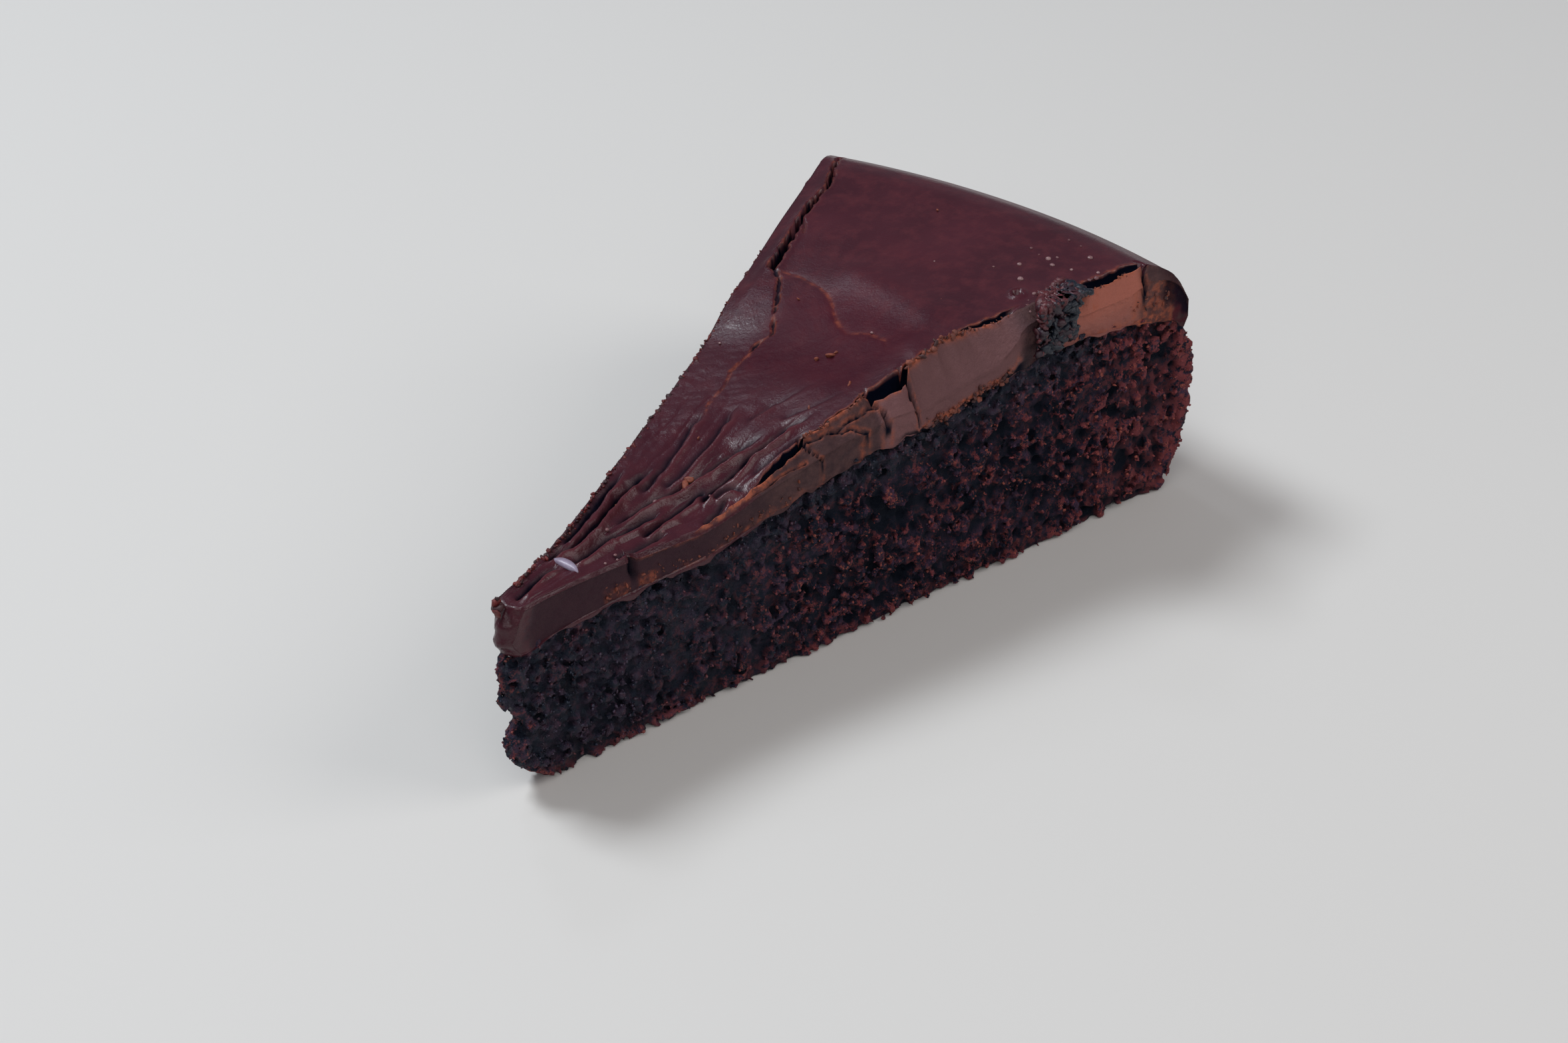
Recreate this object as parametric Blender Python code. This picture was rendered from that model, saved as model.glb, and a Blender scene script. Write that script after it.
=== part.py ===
"""A slice of a round chocolate cake, cut to the centre and resting on its flat base.

It has two solids: the sponge, and the layer of set chocolate icing that lies on it and runs
through from the near cut to the far one. The slice's middle line lies along +X, with the point
at -X and the outer side at +X. The cut face with the torn icing looks towards -Y. The origin is
at the middle of the base. Shapes are worked out in millimetres and stored in metres.
"""

import math

import bmesh
import bpy
import numpy as np
from mathutils import Matrix, Vector, noise

MM = 0.001

# Driving dimensions
CAKE_RADIUS = 117.0
RIM_LEAN = 1.0
SLICE_ANGLE = math.radians(30.7)
TIP_HALF_WIDTH = 2.2
CONTACT_GAP = 0.4

# The point narrows to a blunt nose over its last few millimetres
NOSE_FROM = 2.5
NOSE_REACH = 6.0
NOSE_TAPER = 1.1
NOSE_ROUND = 1.2

# Top of the icing, as (distance from the centre, height) along the near and the far cut
NEAR_SKIN = (
    (0, 29.3), (14, 28.8), (30, 27.8), (36, 29.5), (45, 33), (60, 36.5), (75, 39), (88, 40), (118, 40),
)
FAR_SKIN = ((0, 29.3), (30, 30), (50, 31), (62, 32), (70, 35), (88, 37.8), (103, 39.3), (118, 39.3))

# Where the icing meets the sponge
NEAR_SEAM = (
    (0, 23), (30, 23.8), (41, 26.1), (52, 28.4), (69, 29.6), (78, 31), (90, 33.5), (103, 31.8), (118, 28),
)
FAR_SEAM = ((0, 23), (30, 24), (50, 25), (62, 26.2), (70, 28.5), (88, 31.5), (103, 31.2), (118, 28))

# How far the icing's top falls away towards the outer side, as (distance in from the side, fall)
SHOULDER = ((0, 8.6), (1, 6.9), (2.6, 5.1), (5, 2.9), (7.5, 1.4), (10, 0.4), (13, 0))

# The outer side of each piece, as (height, distance out from the cake's radius)
ICING_SIDE = ((27.5, -1.4), (29, -0.6), (31.5, -0.8))
SPONGE_SIDE = ((0, -3.6), (1, -2.6), (5, -0.9), (8, 0.5), (12, 1.0), (21, 1.1), (24, 0.3), (27, -1.4))

# The ragged point of each piece, as (height, distance along the slice)
ICING_POINT = ((22.5, -2.2), (24.6, -3.5), (26.2, -2.8), (28, -1.9), (30, -0.6))
SPONGE_POINT = (
    (0, 4.2), (3, 0.6), (6.2, -2.3), (8.4, -2.6), (10.7, -0.2), (13, -1.4),
    (15.2, -3.5), (16.5, -2.6), (19, -3.0), (20.6, -3.6), (22.6, 0.8),
)
POINT_REACH = 7.0
SIDE_REACH = 9.0

# The torn strip of icing beside the near cut, as (distance from the centre, size)
STRIP_WIDTH = (
    (0, 0.8), (30, 1.0), (38, 1.1), (41, 1.5), (44, 2.3), (47, 3.2), (56, 3.2), (64, 4.2), (72, 5.2),
    (80, 4.4), (90, 3.0), (105, 2.4), (112, 1.2),
)
STRIP_FALL = (
    (0, 0.9), (30, 1.2), (45, 2.6), (56, 3.6), (64.6, 5.6), (66, 6.4), (79, 6.2), (84, 3), (91, 4.2),
    (104, 4.2), (107, 2.4), (114, 0.8),
)
CRACK_DEPTH = (
    (38, 0), (40.5, 2.2), (46.5, 2.4), (49, 0.7), (55, 0.6), (58, 1.5), (60, 4.8), (64, 4.8), (66.5, 2),
    (84, 2.2), (89, 3.4), (103, 3.2), (107, 0.6),
)
CRACK_SPAN = (
    (38, 0.3), (41, 0.8), (46, 0.9), (50, 0.35), (57, 0.5), (60, 1.5), (63, 2.0), (66.5, 0.6),
    (78, 0.45), (88, 1.3), (96, 1.7), (103, 1.2), (108, 0.4),
)

# The strip, the crack and the skin, as shares of the way across the icing
STRIP_EDGE = 0.12
STRIP_CRACK = 0.15
SKIN_EDGE = 0.18
FAR_EDGE = 0.92

# Plates of broken icing on the strip: (start, end, lift of the inner edge, lift of the outer edge)
PLATES = (
    (19.5, 34, 0.1, 0.1), (47, 58.8, 0.5, 0.1), (59.4, 64.4, -1.2, 0.6), (65.2, 83.6, 0.6, 0.3),
    (91, 105.8, 0.3, 0.3),
)

# Gaps between the plates, as (distance from the centre, depth)
PLATE_GAPS = ((19.0, 1.6), (59.2, 1.4), (64.9, 1.8), (106.4, 1.8))
PLATE_GAP_WIDTH = 0.9

# The long crack near the far cut, as (distance from the centre, depth)
FAR_CRACK_DEPTH = ((74, 0), (77, 1.6), (86, 2), (96, 1.4), (105, 0))
FAR_CRACK_AT = 0.87

# The clump of crumb dragged over the icing's near edge, and how far it stands out and up
CLUMP_AT = 87.3
CLUMP_REACH = 6.3
CLUMP_SWELL = 1.1
CLUMP_RISE = 1.5
CLUMP_MIDDLE = 2.2
CLUMP_INWARD = 3.6

# Folds in the sunken skin near the point. Each is a valley's path in (along, across)
FOLDS = (
    ((1, 0), (5, 0.3), (12, -0.2), (18, -0.7), (23, -1.6), (27, -2)),
    ((9, 2.5), (15, 1.7), (18, 2.4), (23, 3.8), (27, 4.4), (34, 4.6)),
    ((14.4, 2.6), (20.6, 4.9), (24.5, 6), (30, 7.2)),
    ((16, -3.7), (23.7, -4), (29, -3.5), (33, -3.9)),
    ((24, -3.4), (30, -2.4), (35.8, -1.6), (40.2, -3.2), (46, -4.9)),
    ((31, -5.4), (37.7, -5.5), (43.4, -6.1), (49, -8.2)),
    ((27, 2.6), (34, 3.9), (39, 5.6), (45, 6.6)),
    ((27, 0.2), (34, 0.9), (42, 1.6), (49, 3.4)),
)
FOLD_DEPTH = 0.9
FOLD_WIDTH = 0.7

# The low step where the smooth rim of the top meets the sunken middle, in (along, across)
STEP = ((75, 16), (75.5, 12), (73.5, 6), (69, 0.6), (68.3, -5), (66, -9))
STEP_DEPTH = 0.5
STEP_WIDTH = 1.3

# Random relief, as (depth, size of its features): on the icing's cuts, its point and its sunken top
ICING_CUT_RELIEF = (0.25, 3.2)
ICING_POINT_RELIEF = (0.5, 2.0)
SUNKEN_RELIEF = (0.25, 6.0)
SUNKEN_TO = 80.0
SUNKEN_EASE = 20.0

# The same on the sponge's cuts and its two ends
SPONGE_CUT_RELIEF = (0.35, 3.5)
SPONGE_END_RELIEF = (0.7, 3.0)
THINNEST_ICING = 1.6

HALF_ANGLE = SLICE_ANGLE / 2


def profile(points, at):
    """The height of a rounded line through the points."""
    places, heights = zip(*points)
    spread = (-2.0, -1.0, 0.0, 1.0, 2.0)
    return sum(np.interp(at + shift, places, heights) for shift in spread) / len(spread)


def outline(points, at):
    """The same, with the line's corners kept."""
    places, sizes = zip(*points)
    return np.interp(at, places, sizes)


def half_width(x):
    """Half the slice's width at a distance along it. The point is a blunt nose."""
    wedge = np.hypot(np.maximum(x, 0) * math.tan(HALF_ANGLE), TIP_HALF_WIDTH)
    return wedge - NOSE_TAPER * np.clip((NOSE_FROM - x) / NOSE_REACH, 0, 1) ** 2


def blend(near, far, side):
    """Between the near cut, where side is -1, and the far cut, where it is 1."""
    share = (np.clip(side, -1, 1) + 1) / 2
    return near * (1 - share) + far * share


def skin_height(distance, side):
    inset = CAKE_RADIUS - distance
    top = blend(profile(NEAR_SKIN, distance), profile(FAR_SKIN, distance), side)
    return top - outline(SHOULDER, inset)


def seam_height(distance, side):
    return blend(profile(NEAR_SEAM, distance), profile(FAR_SEAM, distance), side)


def distance_to_path(x, y, path):
    """How far each point lies from a path of straight stretches."""
    best = np.full(x.shape, np.inf)
    for (ax, ay), (bx, by) in zip(path, path[1:]):
        run = (bx - ax, by - ay)
        share = ((x - ax) * run[0] + (y - ay) * run[1]) / (run[0] ** 2 + run[1] ** 2)
        share = np.clip(share, 0, 1)
        best = np.minimum(best, np.hypot(x - ax - share * run[0], y - ay - share * run[1]))
    return best


def rough_relief(points, relief, seed):
    """Smooth random relief, given as (depth, size of its features)."""
    depth, size = relief
    offset = Vector((seed * 7.3, seed * 3.1, seed * 5.7))
    return depth * np.array([noise.noise(Vector(point) / size + offset) for point in points])


def cut_block(along, across, up):
    """A unit cube cut by planes at the given stations."""
    shape = bmesh.new()
    bmesh.ops.create_cube(shape, size=1.0, matrix=Matrix.Translation((0.5, 0.5, 0.5)))
    for axis, stations in enumerate((along, across, up)):
        normal = Vector([float(axis == other) for other in range(3)])
        for station in stations:
            geometry = shape.verts[:] + shape.edges[:] + shape.faces[:]
            bmesh.ops.bisect_plane(
                shape, geom=geometry, dist=1e-6, plane_co=normal * float(station), plane_no=normal
            )
    return shape


def length_stations():
    """Even steps along the slice, closer over the rounded shoulder."""
    even = np.arange(1, 45) * 2.36
    shoulder = np.array([108.4, 110.4, 112.2, 113.8, 115.2, 116.3])
    gaps = np.array([place for place, _ in PLATE_GAPS])
    even = even[np.abs(even[:, None] - gaps).min(1) > PLATE_GAP_WIDTH]
    gap_sides = np.concatenate([gaps - PLATE_GAP_WIDTH, gaps, gaps + PLATE_GAP_WIDTH])
    return np.sort(np.concatenate([even, gap_sides, shoulder])) / CAKE_RADIUS


def place(distance, side, height, point, outer):
    """Where a point of the slice lies, with its ragged point and its rounded outer side."""
    radius = CAKE_RADIUS + RIM_LEAN * side
    reach = distance * radius / CAKE_RADIUS
    near_side = np.clip(1 - (CAKE_RADIUS - distance) / SIDE_REACH, 0, 1) ** 2
    near_point = np.clip(1 - distance / POINT_REACH, 0, 1)
    reach = reach + outline(outer, height) * near_side
    x = reach * np.cos(side * HALF_ANGLE) + (outline(point, height) + NOSE_ROUND * side**2) * near_point
    y = side * half_width(x)
    return x, y


def shape_icing(unit):
    """Turns the cut cube's points into the icing layer."""
    distance = unit[:, 0] * CAKE_RADIUS
    width = half_width(distance)
    side = strip_side(unit[:, 1], distance, width)
    lift = unit[:, 2]

    bottom = seam_height(distance, side) + CONTACT_GAP / 2
    skin = skin_height(distance, side)
    near_x = distance * np.cos(side * HALF_ANGLE)
    near_y = side * width
    top = skin + top_relief(unit[:, 1], distance, near_x, near_y)
    top = np.maximum(top, bottom + THINNEST_ICING)
    height = bottom + lift * (top - bottom)

    x, y = place(distance, side, height, ICING_POINT, ICING_SIDE)
    clump = clump_share(distance) * (unit[:, 1] < STRIP_CRACK)
    y = y - CLUMP_SWELL * clump * np.sin(np.clip(lift * 1.1, 0, 1) * math.pi) ** 0.5
    points = np.stack([x, y, height], 1)
    on_cut = (unit[:, 1] < 0.001) | (unit[:, 1] > 0.999)
    points[:, 1] += on_cut * rough_relief(points, ICING_CUT_RELIEF, 1)
    on_point = unit[:, 0] < 0.001
    points[:, 0] += on_point * rough_relief(points, ICING_POINT_RELIEF, 2)
    return points


def strip_side(across, distance, width):
    """Across the icing from -1 to 1, with lines that follow the torn strip and the far crack."""
    strip = outline(STRIP_WIDTH, distance)
    crack = outline(CRACK_SPAN, distance)
    in_crack = np.clip((across - STRIP_EDGE) / (SKIN_EDGE - STRIP_EDGE), 0, 1) * crack
    on_strip = -1 + (np.clip(across / STRIP_EDGE, 0, 1) * (strip - crack) + in_crack) / width
    skin_from = -1 + strip / width
    share = (across - SKIN_EDGE) / (FAR_EDGE - SKIN_EDGE)
    on_skin = skin_from + share * (2 * FAR_EDGE - 1 - skin_from)
    return np.where(across < SKIN_EDGE, on_strip, np.where(across < FAR_EDGE, on_skin, 2 * across - 1))


def clump_share(distance):
    return np.clip(1 - (np.abs(distance - CLUMP_AT) / CLUMP_REACH) ** 4, 0, 1)


def strip_relief(across, distance):
    """The torn strip's slope, its plates, the gaps between them and the crack behind it."""
    share = np.clip(across / STRIP_EDGE, 0, 1)
    clump = clump_share(distance)
    relief = -(1 - share) * outline(STRIP_FALL, distance) * (1 - 0.6 * clump)
    on_strip = across < STRIP_EDGE * 1.01
    for start, end, inner, outer in PLATES:
        reach = np.abs(distance - (start + end) / 2) / (end - start) * 2
        relief += on_strip * np.clip(1 - reach**8, 0, 1) * (inner * share + outer * (1 - share))
    for place_of_gap, depth in PLATE_GAPS:
        inside = np.clip(1 - np.abs(distance - place_of_gap) / PLATE_GAP_WIDTH, 0, 1)
        relief -= on_strip * depth * inside
    crack = np.clip(1 - np.abs(across - STRIP_CRACK) / 0.02, 0, 1)
    return relief - crack * outline(CRACK_DEPTH, distance) * (1 - clump)


def top_relief(across, distance, x, y):
    """What the top has beside its general form: the torn strip, the clump, cracks, folds and the low step."""
    relief = strip_relief(across, distance)
    inset = y + half_width(x)
    heap = np.clip(1 - ((inset - CLUMP_MIDDLE) / CLUMP_INWARD) ** 2, 0, 1)
    relief += CLUMP_RISE * heap * clump_share(distance)
    far = np.clip(1 - np.abs(2 * across - 1 - FAR_CRACK_AT) / 0.02, 0, 1)
    relief -= far * outline(FAR_CRACK_DEPTH, distance)
    folds = [np.exp(-((distance_to_path(x, y, path) / FOLD_WIDTH) ** 2)) for path in FOLDS]
    relief -= FOLD_DEPTH * np.max(folds, 0)
    relief -= STEP_DEPTH * np.exp(-((distance_to_path(x, y, STEP) / STEP_WIDTH) ** 2))
    flat = np.stack([x, y, np.zeros_like(x)], 1)
    sunken = np.clip((SUNKEN_TO - distance) / SUNKEN_EASE, 0, 1)
    return relief + sunken * rough_relief(flat, SUNKEN_RELIEF, 3)


def shape_sponge(unit):
    """Turns the cut cube's points into the sponge."""
    distance = unit[:, 0] * CAKE_RADIUS
    side = 2 * unit[:, 1] - 1
    height = unit[:, 2] * (seam_height(distance, side) - CONTACT_GAP / 2)
    x, y = place(distance, side, height, SPONGE_POINT, SPONGE_SIDE)
    points = np.stack([x, y, height], 1)
    below_seam = np.clip((1 - unit[:, 2]) * 8, 0, 1)
    on_cut = (unit[:, 1] < 0.001) | (unit[:, 1] > 0.999)
    points[:, 1] += on_cut * rough_relief(points, SPONGE_CUT_RELIEF, 4)
    on_end = (unit[:, 0] < 0.001) | (unit[:, 0] > 0.999)
    points[:, 0] += on_end * below_seam * rough_relief(points, SPONGE_END_RELIEF, 5)
    return points


def food_material(name, color, roughness_value):
    material = bpy.data.materials.new(name)
    material.use_nodes = True
    surface = material.node_tree.nodes["Principled BSDF"]
    surface.inputs["Base Color"].default_value = (*color, 1.0)
    surface.inputs["Roughness"].default_value = roughness_value
    surface.inputs["Metallic"].default_value = 0.0
    return material


def food_object(name, stations, shaper, material, collection):
    shape = cut_block(*stations)
    unit = np.array([vertex.co for vertex in shape.verts])
    for vertex, point in zip(shape.verts, shaper(unit)):
        vertex.co = Vector(point) * MM
    bmesh.ops.recalc_face_normals(shape, faces=shape.faces[:])
    bmesh.ops.triangulate(shape, faces=shape.faces[:])
    mesh = bpy.data.meshes.new(name)
    shape.to_mesh(mesh)
    shape.free()
    mesh.materials.append(material)
    mesh.shade_smooth()
    mesh.set_sharp_from_angle(angle=math.radians(40))
    piece = bpy.data.objects.new(name, mesh)
    collection.objects.link(piece)
    return piece


def centre_on_base(pieces):
    """Moves the slice so that the middle of its box's underside is the origin."""
    corners = np.array([vertex.co for piece in pieces for vertex in piece.data.vertices])
    low, high = corners.min(0), corners.max(0)
    shift = Vector(((low[0] + high[0]) / 2, (low[1] + high[1]) / 2, low[2]))
    for piece in pieces:
        piece.data.transform(Matrix.Translation(-shift))


def main():
    for thing in list(bpy.data.objects):
        bpy.data.objects.remove(thing, do_unlink=True)
    collection = bpy.data.collections.new("chocolate_cake_slice")
    bpy.context.scene.collection.children.link(collection)

    along = length_stations()
    icing_across = (0.04, 0.08, STRIP_EDGE, STRIP_CRACK, SKIN_EDGE)
    icing_across += tuple(np.linspace(SKIN_EDGE, FAR_EDGE, 18)[1:])
    icing_across += ((1 + FAR_CRACK_AT) / 2, 0.95)
    icing_up = (0.3, 0.55, 0.8)
    sponge_across = np.linspace(0, 1, 12)[1:-1]
    sponge_up = (0.03, 0.1, 0.2, 0.32, 0.44, 0.56, 0.68, 0.8, 0.9)

    sponge = food_object(
        "sponge", (along, sponge_across, sponge_up), shape_sponge,
        food_material("chocolate_sponge", (0.028, 0.010, 0.008), 0.9), collection,
    )
    icing = food_object(
        "icing", (along, icing_across, icing_up), shape_icing,
        food_material("chocolate_icing", (0.045, 0.016, 0.014), 0.4), collection,
    )
    centre_on_base((sponge, icing))


main()
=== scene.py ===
import itertools
import math

import bmesh
import bpy
import numpy as np
from mathutils import Matrix, Vector


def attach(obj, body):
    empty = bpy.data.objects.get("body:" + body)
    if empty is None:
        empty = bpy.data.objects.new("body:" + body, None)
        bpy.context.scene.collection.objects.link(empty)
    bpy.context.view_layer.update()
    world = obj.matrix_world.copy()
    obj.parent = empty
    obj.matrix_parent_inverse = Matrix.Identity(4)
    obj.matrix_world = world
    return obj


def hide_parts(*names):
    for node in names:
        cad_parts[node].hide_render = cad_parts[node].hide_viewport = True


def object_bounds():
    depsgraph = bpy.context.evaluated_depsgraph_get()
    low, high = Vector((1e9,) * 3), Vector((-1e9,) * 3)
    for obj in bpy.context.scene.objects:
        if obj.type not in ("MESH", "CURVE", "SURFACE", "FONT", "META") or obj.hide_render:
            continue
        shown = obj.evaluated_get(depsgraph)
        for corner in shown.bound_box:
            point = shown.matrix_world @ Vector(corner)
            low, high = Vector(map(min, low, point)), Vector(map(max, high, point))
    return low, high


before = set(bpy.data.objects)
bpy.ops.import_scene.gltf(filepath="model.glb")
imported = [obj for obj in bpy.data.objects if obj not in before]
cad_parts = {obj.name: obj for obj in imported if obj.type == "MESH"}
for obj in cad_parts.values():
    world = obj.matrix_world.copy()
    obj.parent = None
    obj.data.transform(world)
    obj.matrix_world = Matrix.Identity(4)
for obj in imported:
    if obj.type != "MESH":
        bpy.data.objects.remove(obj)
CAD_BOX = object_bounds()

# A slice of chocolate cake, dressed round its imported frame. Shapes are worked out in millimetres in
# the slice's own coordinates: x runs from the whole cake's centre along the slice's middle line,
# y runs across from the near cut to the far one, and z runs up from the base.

MM = 0.001
CAKE_RADIUS = 117.0
RIM_LEAN = 1.0
SLICE_ANGLE = math.radians(30.7)
HALF_ANGLE = SLICE_ANGLE / 2
TIP_HALF_WIDTH = 2.2

# The slice's outermost and farthest points, which place it in the frame's box
OUTER_X = 118.15
FAR_Y = 31.66
ORIGIN = np.array([CAD_BOX[1].x / MM - OUTER_X, CAD_BOX[1].y / MM - FAR_Y, 0.0])

# The camera, in slice coordinates, and its picture
CAMERA_AT = (-213.4, -196.2, 234.3)
CAMERA_LOOK = (0.6713, 0.4894, -0.5566)
CAMERA_ROLL = math.radians(0.47)
FOCAL_PIXELS = 4400.0
PICTURE_WIDTH = 2357.0

# Top of the icing, as (distance from the centre, height) along the near and the far cut
NEAR_SKIN = (
    (0, 29.3), (14, 28.8), (30, 27.8), (36, 29.5), (45, 33), (60, 36.5), (75, 39), (88, 40), (118, 40),
)
FAR_SKIN = ((0, 29.3), (30, 30), (50, 31), (62, 32), (70, 35), (88, 37.8), (103, 39.3), (118, 39.3))

# Where the icing meets the sponge
NEAR_SEAM = (
    (0, 23), (30, 23.8), (41, 26.1), (52, 28.4), (69, 29.6), (78, 31), (90, 33.5), (103, 31.8), (118, 28),
)
FAR_SEAM = ((0, 23), (30, 24), (50, 25), (62, 26.2), (70, 28.5), (88, 31.5), (103, 31.2), (118, 28))

# How far the icing's top falls away towards the outer side, as (distance in from the side, fall)
SHOULDER = ((0, 8.6), (1, 6.9), (2.6, 5.1), (5, 2.9), (7.5, 1.4), (10, 0.4), (13, 0))
SHOULDER_STEP = 0.4

# How far the outer side and the point of each layer stand out or back, as (height, distance)
ICING_SIDE = ((27.5, -1.4), (29, -0.6), (31.5, -0.8))
SPONGE_SIDE = ((0, -3.6), (1, -2.6), (5, -0.9), (8, 0.5), (12, 1.0), (21, 1.1), (24, 0.3), (27, -1.4))
ICING_POINT = ((22.5, -2.2), (24.6, -3.5), (26.2, -2.8), (28, -1.9), (30, -0.6))
SPONGE_POINT = (
    (0, 4.2), (3, 0.6), (6.2, -2.3), (8.4, -2.6), (10.7, -0.2), (13, -1.4),
    (15.2, -3.5), (16.5, -2.6), (19, -3.0), (20.6, -3.6), (22.6, 0.8),
)

# How far into the icing the shapes of its point and its outer side reach, and where that side ends
POINT_REACH = 7.0
SIDE_REACH = 9.0
ICING_END = CAKE_RADIUS - 0.7

# The point narrows to a blunt nose over its last few millimetres
NOSE_FROM = 2.5
NOSE_REACH = 6.0
NOSE_TAPER = 1.1
NOSE_ROUND = 1.2


def outline(points, at):
    """The height of a straight-sided line through the points."""
    places, sizes = zip(*points)
    return np.interp(at, places, sizes)


def profile(points, at, step=1.0):
    """The same, with its corners rounded over two steps each way."""
    return sum(outline(points, at + shift * step) for shift in (-2, -1, 0, 1, 2)) / 5


def half_width(x):
    wedge = np.hypot(np.maximum(x, 0) * math.tan(HALF_ANGLE), TIP_HALF_WIDTH)
    return wedge - NOSE_TAPER * np.clip((NOSE_FROM - x) / NOSE_REACH, 0, 1) ** 2


def blend(near, far, side):
    share = (np.clip(side, -1, 1) + 1) / 2
    return near * (1 - share) + far * share


def skin_height(distance, side):
    top = blend(profile(NEAR_SKIN, distance), profile(FAR_SKIN, distance), side)
    return top - profile(SHOULDER, CAKE_RADIUS - distance, SHOULDER_STEP)


def seam_height(distance, side):
    return blend(profile(NEAR_SEAM, distance), profile(FAR_SEAM, distance), side)


def smooth(low, high, value):
    """0 below low, 1 above high, and a smooth rise between them."""
    share = np.clip((value - low) / (high - low), 0, 1)
    return share * share * (3 - 2 * share)


def window(start, full, last, end, value):
    """1 from full to last, with a smooth rise from start and fall to end."""
    return smooth(start, full, value) * (1 - smooth(last, end, value))


def hump(value, width):
    return np.exp(-((value / width) ** 2))


# The random values that noise looks up, and how it spreads places and seeds over them
TABLE_SIZE = 65521
TABLE = np.random.default_rng(7).uniform(-1, 1, TABLE_SIZE)
STEPS = (73856093, 19349663, 83492791)
SEED_STEP = 7919
SEED_SHIFT = 31.7


def noise(points, size, seed=0):
    """Smooth random values from -1 to 1, with features of about the given size."""
    points = np.asarray(points, float)
    if points.ndim == 1:
        points = points[:, None]
    scaled = points / size + SEED_SHIFT * (seed + 1)
    cell = np.floor(scaled).astype(np.int64)
    part = scaled - cell
    part = part * part * (3 - 2 * part)
    total = np.zeros(len(scaled))
    for corner in itertools.product((0, 1), repeat=scaled.shape[1]):
        weight = np.ones(len(scaled))
        code = np.full(len(scaled), seed * SEED_STEP)
        for axis, up in enumerate(corner):
            weight *= part[:, axis] if up else 1 - part[:, axis]
            code += (cell[:, axis] + up) * STEPS[axis]
        total += weight * TABLE[code % TABLE_SIZE]
    return total


def layered(points, size, seed=0, layers=3):
    """Noise with finer and finer detail."""
    total = sum(noise(points, size / 2**n, seed + n) / 2**n for n in range(layers))
    return total / (2 - 2.0 ** (1 - layers))


def to_path(x, y, path):
    """Distance to a path of straight stretches, the side of it, and the share along it."""
    best = np.full(x.shape, np.inf)
    hand = np.zeros(x.shape)
    along = np.zeros(x.shape)
    count = len(path) - 1
    for step, ((ax, ay), (bx, by)) in enumerate(zip(path, path[1:])):
        run = (bx - ax, by - ay)
        length = run[0] ** 2 + run[1] ** 2
        share = np.clip(((x - ax) * run[0] + (y - ay) * run[1]) / length, 0, 1)
        gap = np.hypot(x - ax - share * run[0], y - ay - share * run[1])
        closer = gap < best
        best = np.where(closer, gap, best)
        hand = np.where(closer, np.sign(run[0] * (y - ay) - run[1] * (x - ax)), hand)
        along = np.where(closer, (step + share) / count, along)
    return best, hand, along


def new_object(name, data):
    piece = bpy.data.objects.new(name, data)
    bpy.context.scene.collection.objects.link(piece)
    return piece


def mesh_object(name, points, faces, material):
    """A smooth mesh object from points in slice millimetres, kept inside the CAD box."""
    mesh = bpy.data.meshes.new(name)
    placed = np.clip((np.asarray(points) + ORIGIN) * MM, CAD_BOX[0], CAD_BOX[1])
    mesh.from_pydata(placed.tolist(), [], faces.tolist())
    mesh.update()
    mesh.materials.append(material)
    mesh.shade_smooth()
    return new_object(name, mesh)


def add_values(piece, name, values):
    """Gives each point of a piece a value that its material reads."""
    attribute = piece.data.attributes.new(name, "FLOAT", "POINT")
    attribute.data.foreach_set("value", np.asarray(values, np.float32))


def points_of(piece):
    """A piece's points in slice millimetres."""
    places = np.empty(len(piece.data.vertices) * 3, np.float32)
    piece.data.vertices.foreach_get("co", places)
    return places.reshape(-1, 3) / MM - ORIGIN


def thin_out(piece, ratio, chosen=None):
    """Joins the flattest faces, everywhere or at the chosen points only."""
    modifier = piece.modifiers.new("thin_out", "DECIMATE")
    modifier.ratio = ratio
    if chosen is not None:
        group = piece.vertex_groups.new(name="hidden")
        group.add(np.nonzero(chosen)[0].tolist(), 1.0, "REPLACE")
        modifier.vertex_group = group.name
    with bpy.context.temp_override(object=piece, active_object=piece, selected_objects=[piece]):
        bpy.context.view_layer.objects.active = piece
        bpy.ops.object.modifier_apply(modifier=modifier.name)
    piece.vertex_groups.clear()


# Icing

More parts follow.
